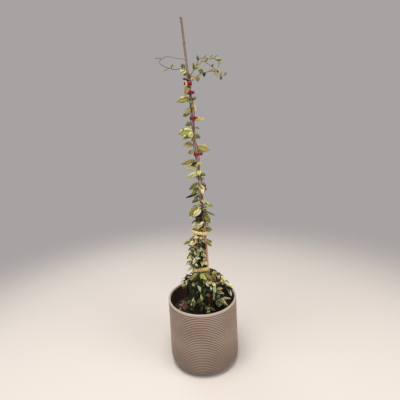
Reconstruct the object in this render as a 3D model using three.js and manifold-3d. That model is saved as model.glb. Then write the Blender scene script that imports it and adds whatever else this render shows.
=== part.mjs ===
// A young climbing star jasmine with cream-edged leaves, trained up a bamboo cane in a ribbed pot.
// Millimetres, +Z up. The origin is the centre of the pot's underside, and the plant's front faces -Y.
import * as THREE from 'three';
import { mergeVertices } from 'three/addons/utils/BufferGeometryUtils.js';
import Module from 'manifold-3d';

const wasm = await Module();
wasm.setup();

// Driving dimensions
const clearance = 0.35;
const pot = {
  height: 305, rimRadius: 150, bellyRadius: 154, cornerRadius: 42, wall: 9, floor: 14,
  lip: 9, ribs: 37, ribDepth: 1.8, sides: 20,
};
const soil = {
  edgeHeight: 226, mound: 9, rootDepth: 24, roughness: 2.2, rings: [124, 96, 66, 34], sideGap: 1,
};
const cane = {
  radius: 4.7, bottom: 93, top: 1417, sides: 6, steps: 12, jointHeights: [330, 585, 840, 1110, 1330],
  jointSwell: 0.8, jointHeight: 4, boreRadius: 1.9, boreDepth: 0.15,
};
const caneBow = [31, 30, 27, 17, 3.5, -9.5, -25.5];
const leaf = {
  thickness: 0.8, rise: 0.1, fold: 0.24, foldedWidth: 22, widestExponent: 0.92, roundness: 0.75,
  rows: [0.3, 0.68], stalkShare: 0.25,
};
const twine = {
  radius: 8.4, pitch: 300, joinLength: 95, step: 32, sway: 2.2, swayFrom: [270, 340], swayLengths: [37, 41],
  leanFrom: 440, leanSpan: 140,
};
const tape = { thickness: 0.9, height: 11, sides: 10 };
const finestDetail = 0.1;

// Colours, as the photograph shows them
const colours = {
  clay: 0xa8968a, soil: 0x241c16, cane: 0x9a6a4c,
  leaf: 0xa9ad62, dry: 0x9a6c50, yellowTape: 0xe3c75a, redTape: 0xb3122f,
};
const finish = (color, roughness) => new THREE.MeshStandardMaterial({ color, roughness, metalness: 0 });

const vec = (x, y, z) => new THREE.Vector3(x, y, z);
const up = vec(0, 0, 1);
const radians = THREE.MathUtils.degToRad;

// A repeatable draw between 0 and 1 for a numbered stem, leaf, try and trait
function draw(stem, spot, attempt, trait) {
  const wave = Math.sin(stem * 12.9898 + spot * 78.233 + attempt * 37.719 + trait * 9.151) * 43758.5453;
  return wave - Math.floor(wave);
}

// The smooth value a share t of the way from b to c, between neighbours a and d
function blend(a, b, c, d, t) {
  return b + 0.5 * t * (c - a + t * (2 * a - 5 * b + 4 * c - d + t * (3 * (b - c) + d - a)));
}

// A smooth run of points through the given ones, with the same number of steps between each two
function smoothRun(points, stepsPerSpan) {
  const before = points[0].clone().multiplyScalar(2).sub(points[1]);
  const last = points.length - 1;
  const after = points[last].clone().multiplyScalar(2).sub(points[last - 1]);
  const all = [before, ...points, after];
  const run = [];
  for (let span = 0; span < last; span += 1) {
    const [a, b, c, d] = all.slice(span, span + 4);
    for (let step = 0; step < stepsPerSpan; step += 1) {
      const t = step / stepsPerSpan;
      run.push(vec(blend(a.x, b.x, c.x, d.x, t), blend(a.y, b.y, c.y, d.y, t), blend(a.z, b.z, c.z, d.z, t)));
    }
  }
  run.push(points[last].clone());
  return run;
}

// The point at a given place along a run, counted in steps
function pointAlong(run, place) {
  const index = Math.min(Math.floor(place), run.length - 2);
  return run[index].clone().lerp(run[index + 1], place - index);
}

// The place along a rising run where it reaches a height
function placeAtHeight(run, height) {
  const index = run.findIndex((point, i) => i + 1 < run.length && run[i + 1].z >= height);
  return index + (height - run[index].z) / (run[index + 1].z - run[index].z);
}

class Route extends THREE.Curve {
  constructor(run) {
    super();
    this.run = run;
  }

  getUtoTmapping(u) {
    return u;
  }

  getPoint(t) {
    return pointAlong(this.run, t * (this.run.length - 1));
  }
}

function solidFrom(vertProperties, triVerts) {
  return new wasm.Manifold(new wasm.Mesh({ numProp: 3, vertProperties, triVerts }));
}

function toManifold(geometry) {
  const bare = geometry.clone();
  bare.deleteAttribute('normal');
  bare.deleteAttribute('uv');
  const merged = mergeVertices(bare, 1e-4);
  return solidFrom(new Float32Array(merged.attributes.position.array), new Uint32Array(merged.index.array));
}

function toGeometry(solid) {
  const mesh = solid.getMesh();
  const geometry = new THREE.BufferGeometry();
  geometry.setAttribute('position', new THREE.BufferAttribute(new Float32Array(mesh.vertProperties), 3));
  geometry.setIndex(new THREE.BufferAttribute(new Uint32Array(mesh.triVerts), 1));
  geometry.computeVertexNormals();
  return geometry;
}

function polygon(radius, sides) {
  const corners = [];
  for (let i = 0; i < sides; i += 1) {
    const angle = (i / sides) * 2 * Math.PI;
    corners.push(new THREE.Vector2(radius * Math.cos(angle), radius * Math.sin(angle)));
  }
  return new THREE.Shape(corners);
}

// A rod of even thickness along a run of points
function rodGeometry(run, radius, sides) {
  return new THREE.ExtrudeGeometry(polygon(radius, sides), {
    steps: run.length - 1, extrudePath: new Route(run), bevelEnabled: false,
  });
}

function lathe(profile, sides) {
  const points = profile.map(([x, y]) => new THREE.Vector2(x, y));
  const geometry = new THREE.LatheGeometry(points, sides);
  geometry.rotateX(Math.PI / 2);
  return geometry;
}

// The pot: flat base, round corner, near-straight wall with level ribs, and a plain lip
function outerWall(distance) {
  const quarter = (Math.PI / 2) * pot.cornerRadius;
  const cornerCentre = pot.bellyRadius - pot.cornerRadius;
  if (distance < quarter) {
    const angle = distance / pot.cornerRadius;
    const [outward, upward] = [Math.sin(angle), -Math.cos(angle)];
    return {
      radius: cornerCentre + pot.cornerRadius * outward,
      height: pot.cornerRadius * (1 + upward), outward, upward,
    };
  }
  const wallHeight = pot.height - pot.cornerRadius;
  const share = (distance - quarter) / wallHeight;
  return {
    radius: THREE.MathUtils.lerp(pot.bellyRadius, pot.rimRadius, share),
    height: pot.cornerRadius + share * wallHeight, outward: 1, upward: 0,
  };
}

const innerRadius = (height) => outerWall(
  (Math.PI / 2) * pot.cornerRadius + height - pot.cornerRadius,
).radius - pot.wall;

function potGeometry() {
  const start = 0.35 * pot.cornerRadius;
  const end = (Math.PI / 2) * pot.cornerRadius + pot.height - pot.cornerRadius - pot.lip;
  const pitch = (end - start) / pot.ribs;
  const profile = [[0, 0], [pot.bellyRadius - pot.cornerRadius, 0]];
  for (let rib = 0; rib <= pot.ribs; rib += 1) {
    const crest = outerWall(start + rib * pitch);
    profile.push([crest.radius, crest.height]);
    if (rib < pot.ribs) {
      const groove = outerWall(start + (rib + 0.5) * pitch);
      const { outward, upward } = groove;
      profile.push([groove.radius - pot.ribDepth * outward, groove.height - pot.ribDepth * upward]);
    }
  }
  const lipRound = pot.wall / 3;
  profile.push([pot.rimRadius, pot.height - lipRound], [pot.rimRadius - lipRound, pot.height]);
  profile.push([pot.rimRadius - pot.wall + lipRound, pot.height]);
  profile.push([pot.rimRadius - pot.wall, pot.height - lipRound]);
  profile.push([innerRadius(pot.cornerRadius), pot.cornerRadius + pot.floor]);
  profile.push([innerRadius(pot.cornerRadius) - pot.cornerRadius / 2, pot.floor], [0, pot.floor]);
  return lathe(profile, pot.sides);
}

// The cane's centre at a height
function caneCentre(height) {
  const spans = caneBow.length - 1;
  const share = THREE.MathUtils.clamp((height - cane.bottom) / (cane.top - cane.bottom), 0, 1);
  const span = Math.min(Math.floor(share * spans), spans - 1);
  const t = share * spans - span;
  const at = (i) => {
    if (i < 0) {
      return 2 * caneBow[0] - caneBow[1];
    }
    return i > spans ? 2 * caneBow[spans] - caneBow[spans - 1] : caneBow[i];
  };
  return blend(at(span - 1), at(span), at(span + 1), at(span + 2), t);
}

function caneSolid() {
  const run = [];
  for (let step = 0; step <= cane.steps; step += 1) {
    const height = THREE.MathUtils.lerp(cane.bottom, cane.top, step / cane.steps);
    run.push(vec(caneCentre(height), 0, height));
  }
  const rings = cane.jointHeights.map((height) => {
    const ringRadius = cane.radius + cane.jointSwell;
    const swelling = new THREE.CylinderGeometry(ringRadius, ringRadius, cane.jointHeight, cane.sides);
    swelling.rotateX(Math.PI / 2);
    swelling.translate(caneCentre(height), 0, height);
    return toManifold(swelling);
  });
  const top = run[cane.steps];
  const boreEnd = top.clone().lerp(run[cane.steps - 1], cane.boreDepth);
  const hollow = rodGeometry([boreEnd, top.clone().add(up)], cane.boreRadius, cane.sides);
  return wasm.Manifold.union([toManifold(rodGeometry(run, cane.radius, cane.sides)), ...rings])
    .subtract(toManifold(hollow));
}

// The main climbing stems: straight up in a loose bundle left of the cane, then round it
const climbers = [
  {
    name: 'climbing_stem_1', lane: [8, 1], phase: 0, joins: 560, radius: 2.2, top: 1252,
    twig: {
      radius: 1.0, height: 822, points: [[24, 0, 820], [28, -3, 814], [28.5, -4, 804], [28.5, -4, 786]],
    },
  },
  { name: 'climbing_stem_2', lane: [3, 15], phase: -138, joins: 645, radius: 2.0, top: 1216 },
  { name: 'climbing_stem_3', lane: [-4, -9], phase: 111, joins: 560, radius: 1.8, top: 832 },
  { name: 'climbing_stem_4', lane: [-13, 6], lean: 6, radius: 1.8, top: 716 },
  { name: 'climbing_stem_5', lane: [-27, 7], lean: -12, radius: 1.7, top: 575 },
  { name: 'climbing_stem_6', lane: [-20, -9], lean: -9, radius: 1.7, top: 556 },
  { name: 'climbing_stem_7', lane: [21, 9], lean: 3, radius: 1.7, top: 656, bareTo: 600 },
];

function climberRun(climber, number) {
  const foot = soil.edgeHeight - soil.rootDepth;
  const steps = Math.round((climber.top - foot) / twine.step);
  const run = [];
  for (let step = 0; step <= steps; step += 1) {
    const height = THREE.MathUtils.lerp(foot, climber.top, step / steps);
    const sway = twine.sway * THREE.MathUtils.smoothstep(height, ...twine.swayFrom);
    const lift = Math.max(0, height - twine.leanFrom) / twine.leanSpan;
    const sideways = sway * Math.sin(height / twine.swayLengths[0] + 2 * number) + (climber.lean ?? 0) * lift;
    let x = climber.lane[0] + sideways;
    let y = climber.lane[1] + sway * Math.cos(height / twine.swayLengths[1] + 3 * number);
    if (climber.phase !== undefined) {
      const join = THREE.MathUtils.smoothstep(height, climber.joins, climber.joins + twine.joinLength);
      const angle = radians(180 + climber.phase + (360 * (height - climbers[0].top)) / twine.pitch);
      x += join * (caneCentre(height) + twine.radius * Math.cos(angle) - x);
      y += join * (twine.radius * Math.sin(angle) - y);
    }
    run.push(vec(x, y, height));
  }
  return run;
}

// Leafy side shoots at the top of the plant, as points that each shoot passes through
const topShoots = [
  {
    name: 'loop_shoot_left', radius: 1.0, grownOn: ['climbing_stem_1', 1250],
    branches: [
      [[-36, 3, 1246], [-58, 1, 1243], [-81, -2, 1249], [-101, -3, 1257], [-113, -2, 1270],
        [-104, 2, 1282], [-80, 5, 1290], [-58, 7, 1284], [-36, 8, 1281], [-14, 9, 1276]],
      [[-104, 2, 1282], [-118, -2, 1284], [-132, -6, 1282]],
      [[-81, -2, 1249], [-92, -8, 1240]],
    ],
  },
  {
    name: 'arching_shoot_right', radius: 1.0, grownOn: ['climbing_stem_2', 1216],
    branches: [
      [[6, 0, 1231], [16, 1, 1245], [33, 2, 1275], [50, 4, 1278], [72, 6, 1278], [92, 6, 1275],
        [104, 4, 1265], [105, 1, 1250], [96, -1, 1236]],
      [[21, 1, 1253], [30, -6, 1256], [45, -12, 1265], [60, -14, 1258], [76, -14, 1246], [90, -13, 1236]],
    ],
  },
  {
    name: 'trailing_shoot_right', radius: 1.0, grownOn: ['climbing_stem_2', 1198],
    branches: [
      [[12, -9, 1207], [26, -10, 1217], [47, -9, 1226], [66, -6, 1229], [84, -4, 1230],
        [96, -5, 1219], [108, -7, 1213], [122, -8, 1213], [133, -8, 1217]],
    ],
  },
];

// Shoots that spring from the soil and arch over the pot: direction, reach, and heights
const basalShoots = [
  [270, 78, 372, 300, 42], [312, 98, 388, 320, 42], [352, 112, 404, 342, 44], [28, 114, 412, 358, 42],
  [72, 92, 404, 344, 42], [114, 84, 396, 338, 42], [158, 76, 392, 366, 42], [196, 66, 388, 356, 42],
  [232, 70, 374, 312, 42],
  [24, 62, 436, 398, 34], [250, 46, 426, 380, 24], [290, 52, 430, 372, 26], [328, 74, 424, 356, 30],
  [292, 86, 300, 254, 62], [336, 104, 312, 272, 66],
].map(([direction, reach, peak, tip, foot], i) => ({
  name: `basal_shoot_${String(i + 1).padStart(2, '0')}`, direction, reach, peak, tip, foot, radius: 1.7,
}));
const dryShoot = {
  name: 'dry_shoot', direction: 196, reach: 98, peak: 288, tip: 262, foot: 64, radius: 1.6, dry: true,
};
// Dense foliage of the bundled climbers below and above the upper wide tie: low end, high end, pair spacing
const column = [[446, 592, 22], [618, 704, 29]];
const bush = { centre: [0, 4], pairs: 5, firstPair: 3.1, lastPair: 1.12 };
const frontHalf = 12;

function basalRun(shoot) {
  const angle = radians(shoot.direction);
  const at = (radius, height) => vec(
    bush.centre[0] + radius * Math.cos(angle), bush.centre[1] + radius * Math.sin(angle), height,
  );
  const ground = soil.edgeHeight;
  const span = shoot.reach - shoot.foot;
  return [at(shoot.foot, ground - soil.rootDepth), ...smoothRun([
    at(shoot.foot, ground + 12),
    at(shoot.foot + 0.12 * span, THREE.MathUtils.lerp(ground, shoot.peak, 0.62)),
    at(shoot.foot + 0.42 * span, shoot.peak),
    at(shoot.foot + 0.78 * span, THREE.MathUtils.lerp(shoot.tip, shoot.peak, 0.62)),
    at(shoot.reach, shoot.tip),
  ], 2)];
}

// One leaf: its base on the stem, its tip, its width and its roll round its own length
function leafFrame(spec) {
  const along = spec.tip.clone().sub(spec.base);
  const direction = along.clone().normalize();
  const face = spec.facing.clone();
  face.addScaledVector(direction, -face.dot(direction)).normalize();
  face.applyAxisAngle(direction, spec.roll);
  return { along, face, side: face.clone().cross(direction) };
}

const halfWidthAt = (t) => Math.sin(Math.PI * t ** leaf.widestExponent) ** leaf.roundness;

// The blade as a thin solid: two rows of points between its base and its tip, alike on both faces.
// A folded blade has a midrib point in each row, and a plain one is flat across.
function bladeSolid(spec, from = 0, extra = 0) {
  const { along, face, side } = leafFrame(spec);
  const rise = leaf.rise * along.length();
  const middle = (t) => {
    const point = spec.base.clone().addScaledVector(along, t);
    return point.addScaledVector(face, 4 * rise * t * (1 - t));
  };
  const across = spec.folded ? [1, 0, -1] : [1, -1];
  const fold = spec.folded ? leaf.fold : 0;
  const rows = [[middle(from)]];
  for (const share of leaf.rows) {
    const t = from + share * (1 - from);
    const half = (spec.width / 2) * halfWidthAt(t) + extra;
    rows.push(across.map((edge) => {
      const point = middle(t).addScaledVector(side, edge * half);
      return point.addScaledVector(face, fold * half * Math.abs(edge));
    }));
  }
  rows.push([middle(1).addScaledVector(along, extra / along.length())]);

  const starts = rows.map((row, i) => rows.slice(0, i).flat().length);
  const top = [];
  for (let i = 0; i + 1 < rows.length; i += 1) {
    const here = rows[i].map((point, k) => starts[i] + k);
    const next = rows[i + 1].map((point, k) => starts[i + 1] + k);
    for (let k = 0; k + 1 < here.length; k += 1) {
      top.push([here[k], here[k + 1], next[Math.min(k + 1, next.length - 1)]]);
    }
    for (let k = 0; k + 1 < next.length; k += 1) {
      top.push([here[Math.min(k, here.length - 1)], next[k + 1], next[k]]);
    }
  }
  const lastOf = (i) => starts[i] + rows[i].length - 1;
  const rim = [starts[0], starts[1], starts[2], starts[3], lastOf(2), lastOf(1)];

  const outline = rows.flat();
  const count = outline.length;
  const depth = leaf.thickness / 2 + extra;
  const vertProperties = new Float32Array(count * 6);
  outline.forEach((point, i) => {
    point.clone().addScaledVector(face, depth).toArray(vertProperties, 3 * i);
    point.clone().addScaledVector(face, -depth).toArray(vertProperties, 3 * (i + count));
  });
  const triVerts = [];
  for (const [a, b, c] of top) {
    triVerts.push(a, b, c, a + count, c + count, b + count);
  }
  rim.forEach((a, i) => {
    const b = rim[(i + 1) % rim.length];
    triVerts.push(a, b, b + count, a, b + count, a + count);
  });
  return solidFrom(vertProperties, new Uint32Array(triVerts));
}

// What is already in place, so that a leaf can be bent clear of it
const placed = [];

function hold(node, solid) {
  placed.push({ node, solid, box: solid.boundingBox() });
}

function boxesMeet(a, b) {
  return [0, 1, 2].every((k) => a.min[k] < b.max[k] && a.max[k] > b.min[k]);
}

function meets(solid, wanted) {
  const box = solid.boundingBox();
  const near = placed.filter((other) => wanted(other) && boxesMeet(box, other.box));
  return near.some((other) => solid.intersect(other.solid).volume() > 1e-6);
}

// The first of a leaf's tries that is clear of everything else, or none
function fitLeaf(node, tries) {
  for (const spec of tries) {
    const whole = bladeSolid(spec, 0, clearance);
    const beyondStalk = bladeSolid(spec, leaf.stalkShare, clearance);
    const clearOfOthers = !meets(whole, (other) => other.node !== node);
    if (clearOfOthers && !meets(beyondStalk, (other) => other.node === node)) {
      hold(node, bladeSolid(spec));
      return spec;
    }
  }
  return null;
}

// Leaves of the open upper part, each as [height on its stem, tip x, tip y, tip z, width]
const upperLeaves = {
  climbing_stem_1: [
    [1249, -33, -6, 1264, 9], [1240, -40, -8, 1233, 13], [1218, -38, -10, 1232, 15],
    [1206, -32, -12, 1206, 12], [1134, 20, -6, 1141, 15], [1118, 13, -14, 1085, 15],
    [1056, 42, -12, 1064, 22], [1018, -62, -10, 1011, 30], [1010, -22, -24, 998, 20],
    [997, -47, -12, 986, 17], [962, -45, -8, 966, 29], [943, -28, 4, 932, 14],
    [904, -59, -6, 892, 18], [894, 0, 36, 884, 20], [880, -43, -8, 869, 18],
    [850, 40, 20, 838, 20], [797, 29, -18, 774, 18], [778, 42, -2, 787, 14],
    [764, 17, -18, 780, 16], [748, 31, -18, 729, 16], [706, -22, -18, 675, 22],
    [690, -26, 6, 700, 18], [650, -8, -20, 619, 20],
  ],
  climbing_stem_2: [
    [1208, -14, -16, 1232, 14], [1176, -27, -22, 1147, 17], [1140, -60, -10, 1128, 23],
    [1132, -10, -26, 1118, 18], [1106, -25, -20, 1078, 22], [1086, -40, 10, 1076, 16],
    [1050, -32, 14, 1040, 20], [1000, 26, 28, 990, 22], [958, 59, -6, 940, 29],
    [944, 40, 24, 930, 20], [873, 15, -20, 899, 15], [866, 12, -24, 846, 16],
    [854, -40, -14, 837, 18], [817, -32, -16, 788, 18], [796, -24, -20, 768, 18],
    [772, -50, -6, 753, 10], [762, -17, -20, 743, 14], [740, -24, 24, 724, 20],
    [700, 12, 38, 690, 20],
  ],
  climbing_stem_3: [
    [826, -12, 30, 840, 18], [826, 34, 26, 822, 18], [780, 28, 34, 770, 18],
    [735, 48, -4, 717, 16], [726, 66, 4, 709, 15], [697, 72, 4, 669, 7],
    [686, 47, -12, 641, 22], [676, 14, -26, 655, 20],
  ],
  climbing_stem_4: [
    [714, -38, -8, 675, 24], [708, -30, 22, 690, 18], [677, -38, -6, 667, 12],
    [645, -26, -10, 633, 13], [640, -26, 30, 626, 20],
  ],
  climbing_stem_7: [
    [640, 48, -2, 625, 18], [650, 22, 38, 642, 18], [613, 58, 2, 604, 24],
    [600, 34, 44, 588, 18], [569, 46, 6, 541, 12],
  ],
};

// Leaves of the top shoots, each as [branch, place along it, tip x, tip y, tip z, width]
const topLeaves = {
  loop_shoot_left: [[0, 5.2, -60, -10, 1265, 8], [0, 1.2, -31, -8, 1262, 9], [2, 1.6, -98, -16, 1234, 6]],
  arching_shoot_right: [
    [0, 3.1, 10, -10, 1264, 9], [0, 3.5, 33, -12, 1247, 10], [0, 4.0, 24, 18, 1264, 9],
    [0, 5.6, 26, -6, 1289, 9], [0, 6.2, 45, -12, 1268, 10], [0, 6.6, 46, 20, 1286, 9],
    [0, 8.2, 62, -9, 1287, 9], [0, 8.8, 66, 16, 1270, 9], [0, 9.6, 77, -10, 1269, 9],
    [0, 10.2, 86, 10, 1290, 9], [0, 11.6, 104, -8, 1285, 10], [0, 12.2, 108, 16, 1273, 9],
    [0, 13.4, 119, -2, 1270, 10], [0, 14.6, 118, -10, 1254, 8], [0, 17.6, 86, -8, 1226, 8],
    [0, 17.85, 104, 6, 1224, 8], [1, 3.2, 36, -22, 1250, 8], [1, 5.4, 60, -24, 1272, 8],
    [1, 8.4, 84, -26, 1252, 8], [1, 9.8, 101, -22, 1228, 8],
  ],
  trailing_shoot_right: [
    [0, 4.2, 24, -18, 1194, 16], [0, 6.0, 27, -20, 1234, 20], [0, 6.4, 50, 12, 1214, 14],
    [0, 8.2, 84, -12, 1238, 10], [0, 10.2, 92, 8, 1242, 10], [0, 10.8, 88, -16, 1214, 10],
    [0, 12.4, 103, -14, 1206, 12], [0, 14.0, 118, -12, 1231, 11], [0, 14.4, 112, 6, 1200, 10],
    [0, 16.4, 134, -14, 1228, 9],
  ],
};

const aim = { attempts: 14, wander: 3.2, depthShare: 2.4, narrowing: 0.025, rollSpread: 50 };

// The tries for a leaf that aims at a known tip, each wandering a little further from it
function aimedTries(base, [x, y, z, width], stem, spot) {
  const tries = [];
  for (let attempt = 0; attempt < aim.attempts; attempt += 1) {
    const wander = aim.wander * attempt;
    const [a, b, c, d] = [1, 2, 3, 4].map((trait) => draw(stem, spot, attempt, trait) - 0.5);
    const facing = vec(0, y < frontHalf ? -1 : 1, 0.5);
    tries.push({
      base, tip: vec(x + wander * a, y + aim.depthShare * wander * b, z + wander * c), facing,
      width: width * (1 - aim.narrowing * attempt), roll: radians(aim.rollSpread * d),
      folded: width >= leaf.foldedWidth,
    });
  }
  return tries;
}

// The tries for a leaf that follows a rule: it heads away from its stem and droops with its weight
function pairTries(run, place, heading, traits, stem, spot) {
  const base = pointAlong(run, place);
  const tries = [];
  for (let attempt = 0; attempt < traits.attempts; attempt += 1) {
    const [a, b, c, d, e] = [1, 2, 3, 4, 5].map((trait) => draw(stem, spot, attempt, trait) - 0.5);
    const azimuth = heading + radians(traits.scatter * a * (1 + 0.25 * attempt));
    const droop = radians(traits.droop + traits.droopSpread * b * (1 + 0.12 * attempt));
    const length = traits.length * (1 + 0.44 * c) * (1 - 0.03 * attempt);
    const level = vec(Math.cos(azimuth), Math.sin(azimuth), 0).multiplyScalar(Math.cos(droop));
    const tip = base.clone().addScaledVector(level, length).addScaledVector(up, -Math.sin(droop) * length);
    const sideways = vec(-Math.sin(azimuth), Math.cos(azimuth), 0);
    const towards = Math.sign(sideways.y) * (base.y < frontHalf ? -1 : 1);
    const facing = sideways.multiplyScalar(0.7 * towards).add(up);
    tries.push({ base, tip, width: length * (0.44 + 0.12 * d), roll: radians(60 * e), facing });
  }
  return tries;
}

// Tape: a closed loop of even wall round the stems, sheared to the cane's lean and the loop's slope
function tieSolid(tie) {
  const wallHeight = tie.height ?? tape.height;
  const outline = (grow) => {
    const corners = [];
    for (let i = 0; i < tape.sides; i += 1) {
      const angle = ((i + 0.5) / tape.sides) * 2 * Math.PI;
      const radius = (tie.half[1] + grow) / Math.cos(Math.PI / tape.sides);
      const stretch = Math.sign(Math.cos(angle)) * (tie.half[0] - tie.half[1]);
      corners.push(new THREE.Vector2(radius * Math.cos(angle) + stretch, radius * Math.sin(angle)));
    }
    return corners;
  };
  const ring = new THREE.Shape(outline(tape.thickness));
  ring.holes.push(new THREE.Path(outline(0)));
  const geometry = new THREE.ExtrudeGeometry(ring, { depth: wallHeight, bevelEnabled: false });
  let solid = toManifold(geometry);
  if (tie.tail) {
    const tab = new THREE.BoxGeometry(tie.tail[0], tape.thickness, wallHeight);
    tab.translate(tie.tail[0] / 2 + tie.half[0], 0, wallHeight / 2);
    tab.rotateZ(radians(tie.tail[1]));
    solid = solid.add(toManifold(tab));
  }
  const lean = tie.lean ?? (caneCentre(tie.z + wallHeight) - caneCentre(tie.z)) / wallHeight;
  const shear = new THREE.Matrix4().set(
    1, 0, lean, tie.x,
    0, 1, 0, tie.y,
    tie.slope ?? 0, 0, 1, tie.z,
    0, 0, 0, 1,
  );
  return solid.transform(shear.elements);
}

const redLoop = twine.radius + climbers[0].radius + clearance + 0.1;
const redTie = (name, height, tailLength, tailTurn) => ({
  name, x: caneCentre(height), y: 0, z: height, half: [redLoop, redLoop], tail: [tailLength, tailTurn],
  colour: colours.redTape,
});
const ties = [
  {
    name: 'yellow_tie_lower', x: -1, y: 0, z: 424, half: [34.9, 19], height: 14, slope: 0.06,
    colour: colours.yellowTape,
  },
  {
    name: 'yellow_tie_upper', x: 0.5, y: 3, z: 594, half: [29.8, 20], height: 13, slope: -0.22,
    colour: colours.yellowTape,
  },
  redTie('red_tie_1', 1186, 9, 200),
  redTie('red_tie_2', 1154, 7, 340),
  redTie('red_tie_3', 1060, 10, 330),
  redTie('red_tie_4', 922, 12, 350),
  {
    name: 'red_tie_5', x: 28.5, y: -4, z: 792, half: [1.7, 1.7], height: 14, lean: 0, tail: [8, 350],
    colour: colours.redTape,
  },
];

function soilGeometry() {
  const at = (radius) => soil.edgeHeight + soil.mound * Math.cos((Math.PI / 2) * (radius / pot.rimRadius));
  const bottom = pot.floor + clearance;
  const edge = innerRadius(soil.edgeHeight) - clearance;
  const footRadius = innerRadius(pot.cornerRadius) - pot.cornerRadius / 2 - soil.sideGap;
  const profile = [[0, bottom], [footRadius, bottom]];
  profile.push([innerRadius(pot.cornerRadius) - soil.sideGap, pot.cornerRadius + pot.floor]);
  profile.push([edge, soil.edgeHeight]);
  for (const radius of soil.rings) {
    profile.push([radius, at(radius)]);
  }
  profile.push([0, at(0)]);
  const geometry = lathe(profile, pot.sides);
  const place = geometry.attributes.position;
  for (let i = 0; i < place.count; i += 1) {
    const radius = Math.hypot(place.getX(i), place.getY(i));
    if (place.getZ(i) > soil.edgeHeight && radius > soil.sideGap) {
      const lump = draw(Math.round(place.getX(i)), Math.round(place.getY(i)), 0, 0) - 0.5;
      place.setZ(i, place.getZ(i) + 2 * soil.roughness * lump);
    }
  }
  return geometry;
}

// Assembly
const plant = new THREE.Group();

function addNode(name, geometry, colour, roughness) {
  const mesh = new THREE.Mesh(geometry, finish(colour, roughness));
  mesh.name = name;
  plant.add(mesh);
}

const caneBody = caneSolid();
const potBody = toManifold(potGeometry());
hold('pot', potBody);
hold('bamboo_cane', caneBody);
for (const tie of ties) {
  tie.solid = tieSolid(tie);
  hold(tie.name, tie.solid);
}

// Every stem stands in its place before any leaf is fitted
const stems = [];
climbers.forEach((climber, i) => {
  const runs = [climberRun(climber, i + 1)];
  if (climber.twig) {
    const start = pointAlong(runs[0], placeAtHeight(runs[0], climber.twig.height));
    runs.push(smoothRun([start, ...climber.twig.points.map(([x, y, z]) => vec(x, y, z))], 2));
  }
  stems.push({ ...climber, number: i + 1, runs, sides: 4, kind: 'climber' });
});
topShoots.forEach((shoot, i) => {
  const [parentName, height] = shoot.grownOn;
  const parent = stems.find((each) => each.name === parentName);
  const origin = pointAlong(parent.runs[0], placeAtHeight(parent.runs[0], height));
  const runs = shoot.branches.map((branch, k) => {
    const points = branch.map(([x, y, z]) => vec(x, y, z));
    if (k === 0) {
      const aside = height < parent.top;
      const towards = aside ? vec(points[0].x - origin.x, points[0].y - origin.y, 0) : up.clone();
      const reach = clearance + 0.5 * shoot.radius + (aside ? parent.radius : 0);
      points.unshift(towards.setLength(reach).add(origin));
    }
    return smoothRun(points, 2);
  });
  stems.push({ ...shoot, number: 11 + i, runs, sides: 3, kind: 'top' });
});
[...basalShoots, dryShoot].forEach((shoot, i) => {
  stems.push({ ...shoot, number: 21 + i, runs: [basalRun(shoot)], sides: 3, kind: 'basal' });
});
for (const stem of stems) {
  stem.solid = wasm.Manifold.union(stem.runs.map((run, i) => toManifold(
    i > 0 && stem.twig ? rodGeometry(run, stem.twig.radius, 3) : rodGeometry(run, stem.radius, stem.sides),
  )));
  hold(stem.name, stem.solid);
}

// The soil, with a plain hole for the cane and for each stem
let soilBody = toManifold(soilGeometry());
hold('soil', soilBody);
const caneEnds = [caneCentre(cane.bottom), caneCentre(soil.edgeHeight + soil.mound)];
const caneDrift = Math.abs(caneEnds[1] - caneEnds[0]) / 2;
const feet = [{
  centre: vec((caneEnds[0] + caneEnds[1]) / 2, 0, 0), sides: cane.sides, bottom: cane.bottom - clearance,
  radius: (cane.radius + caneDrift + clearance) / Math.cos(Math.PI / cane.sides),
}];
for (const stem of stems.filter((each) => each.kind !== 'top')) {
  feet.push({
    centre: stem.runs[0][0], radius: (stem.radius + clearance) / Math.cos(Math.PI / 4), sides: 4,
    bottom: soil.edgeHeight - soil.rootDepth - clearance,
  });
}
for (const foot of feet) {
  const hole = new THREE.ExtrudeGeometry(polygon(foot.radius, foot.sides), {
    depth: soil.edgeHeight, bevelEnabled: false,
  });
  hole.translate(foot.centre.x, foot.centre.y, foot.bottom);
  soilBody = soilBody.subtract(toManifold(hole));
}

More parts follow.
